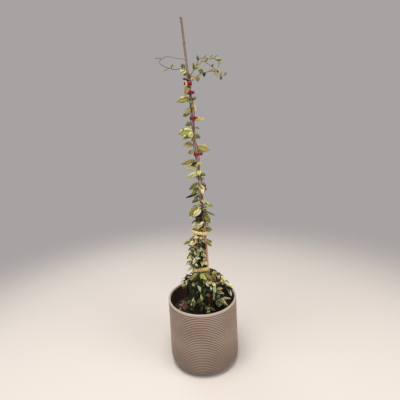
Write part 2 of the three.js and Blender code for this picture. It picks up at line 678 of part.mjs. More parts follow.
// Leaves
function leavesOf(stem) {
  const leaves = [];
  const grow = (tries) => {
    const fitted = fitLeaf(stem.name, tries);
    if (fitted) {
      leaves.push(fitted);
    }
  };
  (upperLeaves[stem.name] ?? []).forEach(([height, ...target], spot) => {
    const place = placeAtHeight(stem.runs[0], height);
    grow(aimedTries(pointAlong(stem.runs[0], place), target, stem.number, spot));
  });
  (topLeaves[stem.name] ?? []).forEach(([branch, place, ...target], spot) => {
    grow(aimedTries(pointAlong(stem.runs[branch], place), target, stem.number, spot));
  });
  if (stem.kind === 'climber') {
    const traits = { attempts: 8, scatter: 50, droop: 34, droopSpread: 50, length: 35 };
    column.forEach(([low, high, pitch], stretch) => {
      if (low < (stem.bareTo ?? 0)) {
        return;
      }
      for (let pair = 0; low + pitch * pair < Math.min(high, stem.top - 6); pair += 1) {
        for (let side = 0; side < 2; side += 1) {
          const heading = radians(90 * pair + 180 * side + 60 * stem.number);
          const height = low + pitch * pair + 4 * draw(stem.number, pair, side, 9);
          const place = placeAtHeight(stem.runs[0], height);
          const spot = 100 * (stretch + 1) + 2 * pair + side;
          grow(pairTries(stem.runs[0], place, heading, traits, stem.number, spot));
        }
      }
    });
  }
  if (stem.kind === 'basal') {
    const traits = { attempts: 8, scatter: 60, droop: 30, droopSpread: 50, length: stem.dry ? 28 : 35 };
    const run = stem.runs[0];
    for (let pair = 0; pair < bush.pairs; pair += 1) {
      const place = THREE.MathUtils.lerp(bush.firstPair, run.length - bush.lastPair, pair / (bush.pairs - 1));
      for (let side = -1; side < 2; side += 2) {
        const heading = radians(stem.direction + side * (pair % 2 ? 76 : 46));
        grow(pairTries(run, place, heading, traits, stem.number, 2 * pair + (side + 1) / 2));
      }
    }
  }
  return leaves;
}

addNode('pot', toGeometry(potBody), colours.clay, 0.7);
addNode('soil', toGeometry(soilBody), colours.soil, 0.95);
addNode('bamboo_cane', toGeometry(caneBody), colours.cane, 0.55);
for (const stem of stems) {
  const leaves = leavesOf(stem);
  const body = wasm.Manifold.union([stem.solid, ...leaves.map((spec) => bladeSolid(spec))])
    .asOriginal().simplify(finestDetail);
  addNode(stem.name, toGeometry(body), stem.dry ? colours.dry : colours.leaf, 0.5);
}
for (const tie of ties) {
  addNode(tie.name, toGeometry(tie.solid), tie.colour, 0.5);
}

export default plant;
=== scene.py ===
import math

import bpy
from mathutils import Matrix, Quaternion, Vector
from mathutils.bvhtree import BVHTree
from mathutils.kdtree import KDTree


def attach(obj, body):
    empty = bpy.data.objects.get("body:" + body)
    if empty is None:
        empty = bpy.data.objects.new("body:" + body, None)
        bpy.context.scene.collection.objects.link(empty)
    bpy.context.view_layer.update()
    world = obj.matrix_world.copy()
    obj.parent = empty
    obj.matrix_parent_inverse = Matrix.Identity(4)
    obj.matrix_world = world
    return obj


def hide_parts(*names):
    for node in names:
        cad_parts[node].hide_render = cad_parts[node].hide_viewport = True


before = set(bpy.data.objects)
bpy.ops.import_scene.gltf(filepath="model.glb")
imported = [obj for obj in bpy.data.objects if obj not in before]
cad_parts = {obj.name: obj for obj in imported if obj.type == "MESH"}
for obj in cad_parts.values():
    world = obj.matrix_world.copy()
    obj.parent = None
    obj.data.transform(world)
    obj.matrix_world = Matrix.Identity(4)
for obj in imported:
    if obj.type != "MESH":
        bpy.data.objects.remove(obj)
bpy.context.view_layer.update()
scene = bpy.context.scene
mm = 0.001
up = Vector((0, 0, 1))
print("frame loaded:", len(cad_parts), "nodes")


# Small helpers for node trees, used by the geometry and the shader trees alike

nodeGrid = {"columns": 12, "across": 170, "down": -220}


def addNode(tree, kind, values=None, **settings):
    node = tree.nodes.new(kind)
    row, place = divmod(len(tree.nodes), nodeGrid["columns"])
    node.location = (nodeGrid["across"] * place, nodeGrid["down"] * row)
    for key, value in settings.items():
        setattr(node, key, value)
    for key, value in (values or {}).items():
        if isinstance(value, bpy.types.NodeSocket):
            tree.links.new(value, node.inputs[key])
        else:
            node.inputs[key].default_value = value
    return node


def calc(tree, operation, *terms):
    return addNode(tree, "ShaderNodeMath", dict(enumerate(terms)), operation=operation).outputs[0]


def times(tree, a, b):
    return calc(tree, "MULTIPLY", a, b)


def plus(tree, a, b):
    return calc(tree, "ADD", a, b)


def minus(tree, a, b):
    return calc(tree, "SUBTRACT", a, b)


def timesPlus(tree, a, b, c):
    return calc(tree, "MULTIPLY_ADD", a, b, c)


def vectorSum(tree, a, b):
    return addNode(tree, "ShaderNodeVectorMath", {0: a, 1: b}, operation="ADD").outputs[0]


def vectorLength(tree, vector):
    return addNode(tree, "ShaderNodeVectorMath", {0: vector}, operation="LENGTH").outputs["Value"]


def stretched(tree, vector, amount):  # a vector times a number
    values = {0: vector, "Scale": amount}
    return addNode(tree, "ShaderNodeVectorMath", values, operation="SCALE").outputs[0]


def mixed(tree, share, first, second):  # two colours
    return addNode(tree, "ShaderNodeMix", {0: share, 6: first, 7: second}, data_type="RGBA").outputs[2]


def remapped(tree, value, low, high, start=0.0, end=1.0):
    return addNode(tree, "ShaderNodeMapRange", {
        "Value": value, "From Min": low, "From Max": high, "To Min": start, "To Max": end,
    }).outputs[0]


def colour(code, alpha=1.0):  # a screen colour such as "c8b27a" as linear light, by the sRGB curve
    channels = [int(code[i:i + 2], 16) / 255 for i in (0, 2, 4)]
    return (*[c / 12.92 if c <= 0.04045 else ((c + 0.055) / 1.055) ** 2.4 for c in channels], alpha)


# Smooth runs and the plant's own rule for where stems and leaves go, in millimetres

drawSet = {"stem": 12.9898, "spot": 78.233, "attempt": 37.719, "trait": 9.151, "spread": 43758.5453}


def draw(stem, spot, attempt, trait):  # a number from 0 to 1 that is the same on every run
    angle = stem * drawSet["stem"] + spot * drawSet["spot"]
    angle = angle + attempt * drawSet["attempt"] + trait * drawSet["trait"]
    wave = math.sin(angle) * drawSet["spread"]
    return wave - math.floor(wave)


def smoothValue(a, b, c, d, t):  # a curve from b to c that also looks at its neighbours a and d
    return b + (c - a + (2 * a - 5 * b + 4 * c - d + (3 * (b - c) + d - a) * t) * t) * (0.5 * t)


def withEnds(points):  # a run with one more point at either end, so that its curve starts and stops well
    return [2 * points[0] - points[1], *points, 2 * points[-1] - points[-2]]


def smoothRun(points, stepsPerSpan):
    whole, run = withEnds(points), []
    for span in range(len(points) - 1):
        for step in range(stepsPerSpan):
            run.append(smoothValue(*whole[span:span + 4], step / stepsPerSpan))
    return [*run, points[-1].copy()]


def pointAlong(run, place):
    index = min(math.floor(place), len(run) - 2)
    return run[index].lerp(run[index + 1], place - index)


def placeAtHeight(run, height):
    index = next(i for i in range(len(run) - 1) if run[i + 1].z >= height)
    return index + (height - run[index].z) / (run[index + 1].z - run[index].z)


def shareBetween(value, low, high):
    return min(1.0, max(0.0, (value - low) / (high - low)))


def smoothStep(value, low, high):
    t = shareBetween(value, low, high)
    return t * t * (3 - 2 * t)


def mixNumber(low, high, share):
    return low + share * (high - low)


# Camera, at the photograph's place: height, distance and tilt fitted to the pot's rim and base

cameraSet = {
    "distance": 1.1975, "height": 1.0354, "pitch": 13.828, "yaw": 0.5234, "roll": -2.836,
    "lens": 27, "sensor": 36,
}


def makeCamera(settings):
    pitch, yaw, roll = (math.radians(settings[key]) for key in ("pitch", "yaw", "roll"))
    ahead = Vector((math.sin(yaw) * math.cos(pitch), math.cos(yaw) * math.cos(pitch), -math.sin(pitch)))
    right = Vector((math.cos(yaw), -math.sin(yaw), 0))
    above = right.cross(ahead)
    turnedRight = right * math.cos(roll) + above * math.sin(roll)
    turnedUp = above * math.cos(roll) - right * math.sin(roll)
    camera = bpy.data.objects.new("camera", bpy.data.cameras.new("camera"))
    camera.data.lens, camera.data.sensor_width = settings["lens"], settings["sensor"]
    turn = Matrix((turnedRight, turnedUp, -ahead)).transposed().to_4x4()
    camera.matrix_world = Matrix.Translation((0, -settings["distance"], settings["height"])) @ turn
    scene.collection.objects.link(camera)
    scene.camera = camera


makeCamera(cameraSet)
print("camera placed")


# Shader groups that several materials share

bladeLook = {
    "seedShift": (37.0, 19.0), "raggedScale": 4.5, "marginFade": (-0.05, 0.08), "midrib": (0.09, 0.02),
    "veinSlant": 0.18, "veinCount": 34.0, "veinEdge": (0.2, 0.05), "veinShare": 0.55,
    "patchScale": 7.0, "patchLimits": (0.45, 0.62),
}


def newShaderGroup(name, inputs, outputs):
    group = bpy.data.node_groups.new(name, "ShaderNodeTree")
    for socketName, kind, value in inputs:
        socket = group.interface.new_socket(socketName, in_out="INPUT", socket_type="NodeSocket" + kind)
        if value is not None:
            socket.default_value = value
    for socketName, kind in outputs:
        group.interface.new_socket(socketName, in_out="OUTPUT", socket_type="NodeSocket" + kind)
    return group, group.nodes.new("NodeGroupInput").outputs, group.nodes.new("NodeGroupOutput").inputs


def noiseIn(tree, vector, scale, detail):
    values = {"Vector": vector, "Scale": scale, "Detail": detail}
    return addNode(tree, "ShaderNodeTexNoise", values).outputs["Fac"]


def makeMottleGroup():  # patches between two limits of a noise
    group, given, out = newShaderGroup("mottle", [
        ("Vector", "Vector", None), ("Scale", "Float", 20.0), ("Low", "Float", 0.35),
        ("High", "Float", 0.65),
    ], [("Mask", "Float")])
    noise = noiseIn(group, given["Vector"], given["Scale"], 4.0)
    group.links.new(remapped(group, noise, given["Low"], given["High"]), out["Mask"])
    return group


def makeGrainGroup():  # fine surface grain as a normal
    group, given, out = newShaderGroup("grain", [
        ("Vector", "Vector", None), ("Scale", "Float", 400.0), ("Depth", "Float", 0.0003),
        ("Strength", "Float", 0.5),
    ], [("Normal", "Vector")])
    bump = addNode(group, "ShaderNodeBump", {
        "Height": noiseIn(group, given["Vector"], given["Scale"], 3.0),
        "Distance": given["Depth"], "Strength": given["Strength"],
    })
    group.links.new(bump.outputs[0], out["Normal"])
    return group


def makeBladeGroup(look):  # margin, veins and patches of a leaf, from its own UV map
    group, given, out = newShaderGroup("bladePattern", [
        ("UV", "Vector", None), ("Margin Share", "Float", 0.3), ("Leaf Seed", "Float", 0.0),
    ], [("Margin", "Float"), ("Vein", "Float"), ("Patch", "Float")])
    parts = addNode(group, "ShaderNodeSeparateXYZ", {0: given["UV"]}).outputs
    across = calc(group, "ABSOLUTE", timesPlus(group, parts[0], 2.0, -1.0))
    shift = addNode(group, "ShaderNodeCombineXYZ", {
        axis: times(group, given["Leaf Seed"], amount) for axis, amount in enumerate(look["seedShift"])
    }).outputs[0]
    place = vectorSum(group, given["UV"], shift)
    ragged = noiseIn(group, place, look["raggedScale"], 2.0)
    reach = plus(group, across, timesPlus(group, ragged, 1.0, -0.5))
    limit = minus(group, 1.0, given["Margin Share"])
    slanted = minus(group, parts[1], times(group, across, look["veinSlant"]))
    side = calc(group, "ABSOLUTE", calc(group, "SINE", times(group, slanted, look["veinCount"])))
    sideVein = times(group, remapped(group, side, *look["veinEdge"]), look["veinShare"])
    patch = noiseIn(group, place, look["patchScale"], 3.0)
    for name, value in (
        ("Margin", remapped(group, minus(group, reach, limit), *look["marginFade"])),
        ("Vein", calc(group, "MAXIMUM", remapped(group, across, *look["midrib"]), sideVein)),
        ("Patch", remapped(group, patch, *look["patchLimits"])),
    ):
        group.links.new(value, out[name])
    return group


mottleGroup, grainGroup, bladeGroup = makeMottleGroup(), makeGrainGroup(), makeBladeGroup(bladeLook)


def useGroup(tree, group, values):
    return addNode(tree, "ShaderNodeGroup", values, node_tree=group).outputs


def mottle(tree, place, scale, low, high):
    return useGroup(tree, mottleGroup, {"Vector": place, "Scale": scale, "Low": low, "High": high})["Mask"]


def newMaterial(name, roughness, coat=0.0, specular=0.5):
    material = bpy.data.materials.new(name)
    material.use_nodes = True
    shader = material.node_tree.nodes["Principled BSDF"].inputs
    shader["Roughness"].default_value = roughness
    shader["Coat Weight"].default_value = coat
    shader["Specular IOR Level"].default_value = specular
    return material, material.node_tree, shader


def objectPlace(tree, scale=(1, 1, 1)):
    place = addNode(tree, "ShaderNodeTexCoord").outputs["Object"]
    return addNode(tree, "ShaderNodeMapping", {"Vector": place, "Scale": scale}).outputs[0]


def attribute(tree, name):
    return addNode(tree, "ShaderNodeAttribute", attribute_name=name).outputs


def shareOf(tree, name):  # a stored number of the mesh
    return attribute(tree, name)["Fac"]


def tinted(tree, base, share, code):  # a share of one colour over another
    return mixed(tree, share, base, colour(code))


def dressSurface(tree, shader, tint, mask, roughness, place, grain):
    tree.links.new(tint, shader["Base Color"])
    tree.links.new(remapped(tree, mask, 0.0, 1.0, *roughness), shader["Roughness"])
    scale, depth, strength = grain
    values = {"Vector": place, "Scale": scale, "Depth": depth, "Strength": strength}
    tree.links.new(useGroup(tree, grainGroup, values)["Normal"], shader["Normal"])


# Materials: patches and flecks are given as scale, low and high, a grain as scale, depth and strength.
# The even roughness is what a surface has before its patches vary it.

clayLook = {
    # the groove colour is painted shade, laid into the rib grooves
    "wall": "b39f90", "shade": "a48e7f", "groove": "3a2c25", "foot": "87736a", "lip": "9d958b",
    # the inside colour is painted shade on the inside wall and floor of the pot
    "inside": "3a2d28", "speckle": "8c786c", "patches": (9.0, 0.35, 0.7), "speckles": (620.0, 0.58, 0.72),
    "speckleShare": 0.35, "footFade": (0.15, 0.0), "grooveShadeFade": (0.12, 0.66), "evenRoughness": 0.78,
    "roughness": (0.72, 0.86), "grain": (900.0, 0.0002, 0.4),
}


def makeClay(look):
    material, tree, shader = newMaterial("ribbedClay", look["evenRoughness"])
    place = objectPlace(tree)
    broad, fine = mottle(tree, place, *look["patches"]), mottle(tree, place, *look["speckles"])
    wall = mixed(tree, broad, colour(look["wall"]), colour(look["shade"]))
    wall = tinted(tree, wall, times(tree, fine, look["speckleShare"]), look["speckle"])
    height = addNode(tree, "ShaderNodeSeparateXYZ", {0: place}).outputs[2]
    # the clay is made darker towards the foot
    wall = tinted(tree, wall, remapped(tree, height, *look["footFade"]), look["foot"])
    # painted shade in the rib grooves: the deeper the groove, the darker the clay
    wall = tinted(tree, wall, remapped(tree, shareOf(tree, "groove"), *look["grooveShadeFade"]), look["groove"])
    wall = tinted(tree, wall, shareOf(tree, "lipShare"), look["lip"])
    # painted shade on the inside of the pot
    wall = tinted(tree, wall, shareOf(tree, "insideShadeShare"), look["inside"])
    dressSurface(tree, shader, wall, broad, look["roughness"], place, look["grain"])
    return material


caneLook = {
    # the colour at the cane's tip is painted shade: in its hollow and on its left side
    "foot": "b9795f", "light": "a58b78", "joint": "5a3a2d", "cut": "241812",
    "above": [("b38860", 0.34, 0.45), ("906653", 0.58, 0.68), ("69564b", 1.0, 1.3)],  # colour, metres up
    "fibre": (430.0, 430.0, 4.0), "streaks": (1.0, 0.42, 0.72), "blotches": (16.0, 0.5, 0.75),
    "share": 0.22, "coat": 0.15, "evenRoughness": 0.42, "roughness": (0.36, 0.55),
    "grain": (2.0, 0.0002, 0.5),
}


def makeBamboo(look):
    material, tree, shader = newMaterial("bamboo", look["evenRoughness"], coat=look["coat"])
    place = objectPlace(tree, look["fibre"])
    height = addNode(tree, "ShaderNodeSeparateXYZ", {0: objectPlace(tree)}).outputs[2]
    base = colour(look["foot"])
    for code, low, high in look["above"]:
        base = tinted(tree, base, remapped(tree, height, low, high), code)
    streak = mottle(tree, place, *look["streaks"])
    base = tinted(tree, base, times(tree, streak, look["share"]), look["light"])
    blotch = mottle(tree, objectPlace(tree), *look["blotches"])
    base = tinted(tree, base, times(tree, blotch, look["share"]), look["joint"])
    base = tinted(tree, base, shareOf(tree, "jointShare"), look["joint"])
    # painted shade in the hollow of the tip and on its left side; the cut rim is darkened too
    base = tinted(tree, base, shareOf(tree, "tipShadeShare"), look["cut"])
    dressSurface(tree, shader, base, streak, look["roughness"], place, look["grain"])
    return material


leafLook = {
    "patchShade": (0.01, 0.016, 0.006, 1), "shadeShare": 0.3, "patchShare": 0.6, "underFade": (0.0, -0.6),
    "underLift": 3.0, "underMost": 0.45, "specular": 0.17, "roughnessSpan": 0.12,
    "veinDepth": 0.0004, "veinStrength": 0.6,
}


def makeLeafSkin(name, roughness, veinLift, underside, look):
    material, tree, shader = newMaterial(name, roughness, specular=look["specular"])
    uv = addNode(tree, "ShaderNodeTexCoord").outputs["UV"]
    body, margin = attribute(tree, "bodyTint")["Color"], attribute(tree, "marginTint")["Color"]
    pattern = useGroup(tree, bladeGroup, {
        "UV": uv, "Margin Share": shareOf(tree, "marginShare"), "Leaf Seed": shareOf(tree, "leafSeed"),
    })
    darker = mixed(tree, look["shadeShare"], body, look["patchShade"])
    flesh = mixed(tree, times(tree, pattern["Patch"], look["patchShare"]), body, darker)
    flesh = mixed(tree, pattern["Margin"], flesh, margin)
    flesh = mixed(tree, times(tree, pattern["Vein"], veinLift), flesh, margin)
    below = remapped(tree, shareOf(tree, "skin"), *look["underFade"])
    lightness = addNode(tree, "ShaderNodeRGBToBW", {0: body}).outputs[0]
    share = calc(tree, "MINIMUM", times(tree, lightness, look["underLift"]), look["underMost"])
    flesh = tinted(tree, flesh, times(tree, below, share), underside)
    rough = remapped(tree, pattern["Patch"], 0.0, 1.0, roughness, roughness + look["roughnessSpan"])
    bump = addNode(tree, "ShaderNodeBump", {
        "Height": minus(tree, 1.0, pattern["Vein"]),
        "Distance": look["veinDepth"], "Strength": look["veinStrength"],
    }).outputs[0]
    for value, socket in ((flesh, "Base Color"), (rough, "Roughness"), (bump, "Normal")):
        tree.links.new(value, shader[socket])
    return material


barkLook = {
    "length": (1.0, 1.0, 0.35), "patches": (180.0, 0.4, 0.65), "patchShare": 0.5, "patch": "2e2218",
    "evenRoughness": 0.62, "roughness": (0.55, 0.75), "grain": (700.0, 0.0002, 0.6),
}


def makeBark(look):
    material, tree, shader = newMaterial("twiningBark", look["evenRoughness"])
    place = objectPlace(tree, look["length"])
    patches = mottle(tree, place, *look["patches"])
    tint = attribute(tree, "bodyTint")["Color"]
    tint = tinted(tree, tint, times(tree, patches, look["patchShare"]), look["patch"])
    dressSurface(tree, shader, tint, patches, look["roughness"], place, look["grain"])
    return material


tapeLook = {
    "rubbed": (95.0, 0.45, 0.7), "rubbedShare": 0.5, "roughnessSpan": 0.2, "creases": (1.0, 1.0, 0.3),
    "grain": (260.0, 0.0006, 0.6),
}


def makeTape(name, main, worn, roughness, specular, look):
    material, tree, shader = newMaterial(name, roughness, specular=specular)
    rubbed = mottle(tree, objectPlace(tree), *look["rubbed"])
    tape = tinted(tree, colour(main), times(tree, rubbed, look["rubbedShare"]), worn)
    span = (roughness, roughness + look["roughnessSpan"])
    dressSurface(tree, shader, tape, rubbed, span, objectPlace(tree, look["creases"]), look["grain"])
    return material


earthLook = {
    "clods": (70.0, 0.4, 0.7), "flecks": (420.0, 0.62, 0.7), "fleckShare": 0.6, "fleck": "7a6350",
    "evenRoughness": 0.95, "roughness": (0.88, 1.0), "grain": (260.0, 0.002, 0.8),
}


def makeEarth(name, dark, light, look):
    material, tree, shader = newMaterial(name, look["evenRoughness"])
    place = objectPlace(tree)
    clods, flecks = mottle(tree, place, *look["clods"]), mottle(tree, place, *look["flecks"])
    earth = tinted(tree, colour(dark), clods, light)
    earth = tinted(tree, earth, times(tree, flecks, look["fleckShare"]), look["fleck"])
    dressSurface(tree, shader, earth, clods, look["roughness"], place, look["grain"])
    return material


clay = makeClay(clayLook)
bamboo = makeBamboo(caneLook)
leafSkin = makeLeafSkin("jasmineLeaf", 0.48, 0.22, "a9ad84", leafLook)
dryLeafSkin = makeLeafSkin("driedLeaf", 0.7, 0.35, "8f6a4c", leafLook)
bark = makeBark(barkLook)
yellowTape = makeTape("yellowTape", "d6c07e", "e2d0a0", 0.6, 0.3, tapeLook)
redTape = makeTape("redTape", "8a0b28", "520414", 0.5, 0.22, tapeLook)
soilSkin = makeEarth("pottingSoil", "15100c", "2f251d", earthLook)
crumbSkin = makeEarth("soilCrumbs", "1c1510", "44362a", earthLook)
print("materials made")


# Meshes, and helpers for geometry trees

def setMark(mesh, name, kind, values):
    field = {"FLOAT": "value", "BOOLEAN": "value", "FLOAT_VECTOR": "vector", "FLOAT_COLOR": "color"}[kind]
    flat = values if field == "value" else [part for value in values for part in value]
    mesh.attributes.new(name, kind, "POINT").data.foreach_set(field, flat)


def smoothMesh(name, points, faces):
    mesh = bpy.data.meshes.new(name)
    mesh.from_pydata([point * mm for point in points], [], faces)
    mesh.polygons.foreach_set("use_smooth", [True] * len(mesh.polygons))
    return mesh


def turnedMesh(name, rows, marks, sides, centreAt=None):  # a row: radius, height, a number for each mark
    points, faces, rings, rowOf = [], [], [], []
    for number, (radius, height, *_) in enumerate(rows):
        centre = centreAt(height) if centreAt else Vector((0, 0, height))
        count = 1 if radius == 0 else sides
        rings.append([len(points) + (0 if count == 1 else i) for i in range(sides)])
        rowOf += [number] * count
        for i in range(count):
            angle = 2 * math.pi * i / sides
            points.append(centre + Vector((radius * math.cos(angle), radius * math.sin(angle), 0)))
    for low, high in zip(rings, rings[1:]):
        for i in range(sides):
            k = (i + 1) % sides
            faces.append(list(dict.fromkeys([low[i], low[k], high[k], high[i]])))
    mesh = smoothMesh(name, points, faces)
    for column, mark in enumerate(marks, 2):
        setMark(mesh, mark, "FLOAT", [rows[number][column] for number in rowOf])
    return mesh


def newGeometryTree(name, inputs):
    tree = bpy.data.node_groups.new(name, "GeometryNodeTree")
    tree.interface.new_socket("Geometry", in_out="INPUT", socket_type="NodeSocketGeometry")
    for socketName, kind, value in inputs:
        socket = tree.interface.new_socket(socketName, in_out="INPUT", socket_type="NodeSocket" + kind)
        if value is not None:
            socket.default_value = value
    tree.interface.new_socket("Geometry", in_out="OUTPUT", socket_type="NodeSocketGeometry")
    return tree, tree.nodes.new("NodeGroupInput").outputs, tree.nodes.new("NodeGroupOutput").inputs


def named(tree, name, kind="FLOAT"):  # a stored attribute
    return addNode(tree, "GeometryNodeInputNamedAttribute", {"Name": name}, data_type=kind).outputs[0]


def stored(tree, geometry, name, value, **kind):
    values = {"Geometry": geometry, "Name": name, "Value": value}
    return addNode(tree, "GeometryNodeStoreNamedAttribute", values, **kind).outputs[0]


def instanced(tree, points, instance, **turned):
    values = {"Points": points, "Instance": instance, **turned}
    return addNode(tree, "GeometryNodeInstanceOnPoints", values).outputs[0]


def joinedUp(tree, *parts):
    joined = addNode(tree, "GeometryNodeJoinGeometry")
    for part in parts:
        tree.links.new(part, joined.inputs[0])
    return joined.outputs[0]


def realized(tree, geometry):
    return addNode(tree, "GeometryNodeRealizeInstances", {"Geometry": geometry}).outputs[0]


def dressedIn(tree, geometry, material, mark=None):  # all of it, or what the mark picks out
    values = {"Geometry": geometry, "Material": material}
    if mark:
        values["Selection"] = named(tree, mark, "BOOLEAN")
    return addNode(tree, "GeometryNodeSetMaterial", values).outputs[0]


def newPiece(name, mesh):
    piece = bpy.data.objects.new(name, mesh)
    scene.collection.objects.link(piece)
    return piece


def pieceName(node):  # red_tie_1 becomes redTie1
    first, *others = node.split("_")
    return first + "".join(word.capitalize() for word in others)


def shapedBy(tree, name, mesh, values):
    piece = newPiece(name, mesh)
    modifier = piece.modifiers.new("shape", "NODES")
    modifier.node_group = tree
    for item in tree.interface.items_tree:
        if item.in_out == "INPUT" and item.name in values:
            modifier[item.identifier] = values[item.name]
    bpy.context.view_layer.update()
    graph = bpy.context.evaluated_depsgraph_get()
    evaluated = piece.evaluated_get(graph)
    shaped = bpy.data.meshes.new_from_object(evaluated, preserve_all_data_layers=True, depsgraph=graph)
    piece.modifiers.remove(modifier)
    piece.data = shaped
    shaped.name = name
    return piece


def finishPiece(piece, slotName, *nodes):
    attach(piece, "root")
    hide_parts(*nodes)


# Pot

potSet = {
    "height": 305, "rimRadius": 150, "bellyRadius": 154, "cornerRadius": 42, "wall": 9, "floor": 14,
    # inside: heights on the inside wall, each with its share of painted shade
    "lip": 9, "lipSteps": 10, "lipFade": (0.1, 0.8), "inside": [(298, 0.8), (290, 1), (260, 1), (200, 1)],
    "ribs": 39, "ribDepth": 2.6, "ribStart": 0.35, "ribSlack": 0.001, "ringsPerRib": 8, "sides": 128,
}
cornerPath = math.pi / 2 * potSet["cornerRadius"]  # the way round the rounded foot
awayFromRibs = -99  # the wall path of a ring that has no rib


def outerWall(distance):  # radius and height at a path length up the outside
    corner, belly = potSet["cornerRadius"], potSet["bellyRadius"]
    if distance < cornerPath:
        angle = distance / corner
        return belly - corner * (1 - math.sin(angle)), corner * (1 - math.cos(angle))
    rise = potSet["height"] - corner
    share = (distance - cornerPath) / rise
    return mixNumber(belly, potSet["rimRadius"], share), corner + share * rise


def innerRadius(height):
    return outerWall(cornerPath + height - potSet["cornerRadius"])[0] - potSet["wall"]


def makeRibTree(slack):
    tree, given, out = newGeometryTree("potRibs", [
        ("Rib Start", "Float", 0.0), ("Rib Pitch", "Float", 7.0), ("Rib Count", "Float", 30.0),
        ("Rib Depth", "Float", 0.002), ("Material", "Material", None),
    ])
    path = minus(tree, named(tree, "wallPath"), given["Rib Start"])
    phase = calc(tree, "DIVIDE", path, given["Rib Pitch"])
    crest = calc(tree, "ABSOLUTE", calc(tree, "COSINE", times(tree, phase, math.pi)))
    below = calc(tree, "LESS_THAN", phase, plus(tree, given["Rib Count"], slack))
    ribbed = times(tree, calc(tree, "GREATER_THAN", phase, -slack), below)
    # how deep the groove is: it moves the wall in, and it is stored to paint shade into the groove
    groove = times(tree, ribbed, minus(tree, 1.0, crest))
    inward = times(tree, groove, times(tree, given["Rib Depth"], -1.0))
    normal = addNode(tree, "GeometryNodeInputNormal").outputs[0]
    moved = addNode(tree, "GeometryNodeSetPosition", {
        "Geometry": stored(tree, given["Geometry"], "groove", groove),
        "Offset": stretched(tree, normal, inward),
    }).outputs[0]
    tree.links.new(dressedIn(tree, realized(tree, moved), given["Material"]), out["Geometry"])
    return tree


def makePot(settings):
    corner, rim, wall, top = (settings[key] for key in ("cornerRadius", "rimRadius", "wall", "height"))
    start = settings["ribStart"] * corner
    pitch = (cornerPath + top - corner - settings["lip"] - start) / settings["ribs"]
    rows = [(radius, 0, awayFromRibs, 0, 0) for radius in (0, settings["bellyRadius"] - corner)]
    for step in range(settings["ribs"] * settings["ringsPerRib"] + 1):
        path = start + step * pitch / settings["ringsPerRib"]
        rows.append((*outerWall(path), path, 0, 0))
    for step in range(settings["lipSteps"] + 1):
        angle = math.pi * step / settings["lipSteps"]
        radius = rim - wall / 2 + wall / 2 * math.cos(angle)
        height = top - wall / 2 + wall / 2 * math.sin(angle)
        rows.append((radius, height, awayFromRibs, smoothStep(math.sin(angle), *settings["lipFade"]), 0))
    # the inside wall and floor take the painted shade colour, by the share given with each height
    for height, dark in (*settings["inside"], (corner + settings["floor"], 1)):
        rows.append((innerRadius(height), height, awayFromRibs, 0, dark))
    for radius in (innerRadius(corner) - corner / 2, 0):
        rows.append((radius, settings["floor"], awayFromRibs, 0, 1))
    mesh = turnedMesh("pot", rows, ("wallPath", "lipShare", "insideShadeShare"), settings["sides"])
    return shapedBy(makeRibTree(settings["ribSlack"]), "ribbedPot", mesh, {
        "Rib Start": start, "Rib Pitch": pitch, "Rib Count": float(settings["ribs"]),
        "Rib Depth": settings["ribDepth"] * mm, "Material": clay,
    })


finishPiece(makePot(potSet), "clay", "pot")
print("pot made")


# Cane

caneSet = {
    "radius": 4.6, "lowRadius": 6.0, "taper": (440, 960), "bottom": 150, "top": 1416.5, "foot": 93,
    "cadTop": 1417, "bow": [31, 30, 27, 17, 3.5, -9.5, -25.5], "sides": 20, "ringPitch": 22,
    "tipRings": (0.8, 7, 9), "joints": [330, 585, 840, 1110, 1330], "swell": 0.7, "swellReach": 4,
    "jointRings": (-6, -3, -1.4, -0.5, 0.4, 1.6, 4), "pinch": 0.35, "pinchReach": (0.45, 1.5),
    "stainReach": 3, "splitLength": 8, "splitFrom": 0.5,
    "tip": [(4.1, 0, 0.5), (2.3, 0, 0.8), (1.9, 0.6, 1), (1.9, 14, 1), (0, 14, 1)],  # radius, depth, share of painted shade
}


def caneCentre(height):
    spans = len(caneSet["bow"]) - 1
    share = shareBetween(height, caneSet["foot"], caneSet["cadTop"])
    span = min(math.floor(share * spans), spans - 1)
    return smoothValue(*withEnds(caneSet["bow"])[span:span + 4], share * spans - span)


def caneRadius(height):
    return mixNumber(caneSet["lowRadius"], caneSet["radius"], shareBetween(height, *caneSet["taper"]))


def makeCane(settings):
    top, bottom, (nearPinch, farPinch) = settings["top"], settings["bottom"], settings["pinchReach"]
    heights = {bottom, *(top - below for below in settings["tipRings"])}
    heights |= set(range(bottom, int(top) - settings["ringPitch"], settings["ringPitch"]))
    heights |= {joint + offset for joint in settings["joints"] for offset in settings["jointRings"]}
    rows = [(0, bottom, 0, 0)]
    for height in sorted(heights):
        nearness = min(abs(height - joint) for joint in settings["joints"])
        ridge = settings["swell"] * max(0.0, 1 - nearness / settings["swellReach"])
        pinch = settings["pinch"] if nearPinch < nearness < farPinch else 0
        stain = max(0.0, 1 - nearness / settings["stainReach"])
        rows.append((caneRadius(height) + ridge - pinch, height, stain, 0))
    rows += [(radius, top - depth, 0, dark) for radius, depth, dark in settings["tip"]]
    mesh = turnedMesh(
        "cane", rows, ("jointShare", "tipShadeShare"), settings["sides"],
        lambda height: Vector((caneCentre(height), 0, height)),
    )
    for vertex, mark in zip(mesh.vertices, mesh.attributes["tipShadeShare"].data):  # the left side of the tip, painted as shade
        x, _, height = vertex.co / mm
        if x < caneCentre(top) - settings["splitFrom"] and height > top - settings["splitLength"]:
            mark.value = 1.0
    mesh.materials.append(bamboo)
    return newPiece("bambooCane", mesh)


finishPiece(makeCane(caneSet), "bamboo", "bamboo_cane")
print("cane made")


# Soil with loose crumbs

soilSet = {
    "edge": 226, "gap": 0.35, "mound": 9, "depth": 34, "taper": 2, "sides": 72, "rings": 26,
    "lumps": 2.4, "lumpSize": 4, "evenRim": 3, "crumbDensity": 26000.0, "smallest": 0.0007,
    "largest": 0.0032, "squash": ((0.7, 0.7, 0.45), (1.5, 1.1, 0.9)), "turn": ((0, 0, 0), (0.7, 0.7, 6.28)),
    "seed": 5,
}


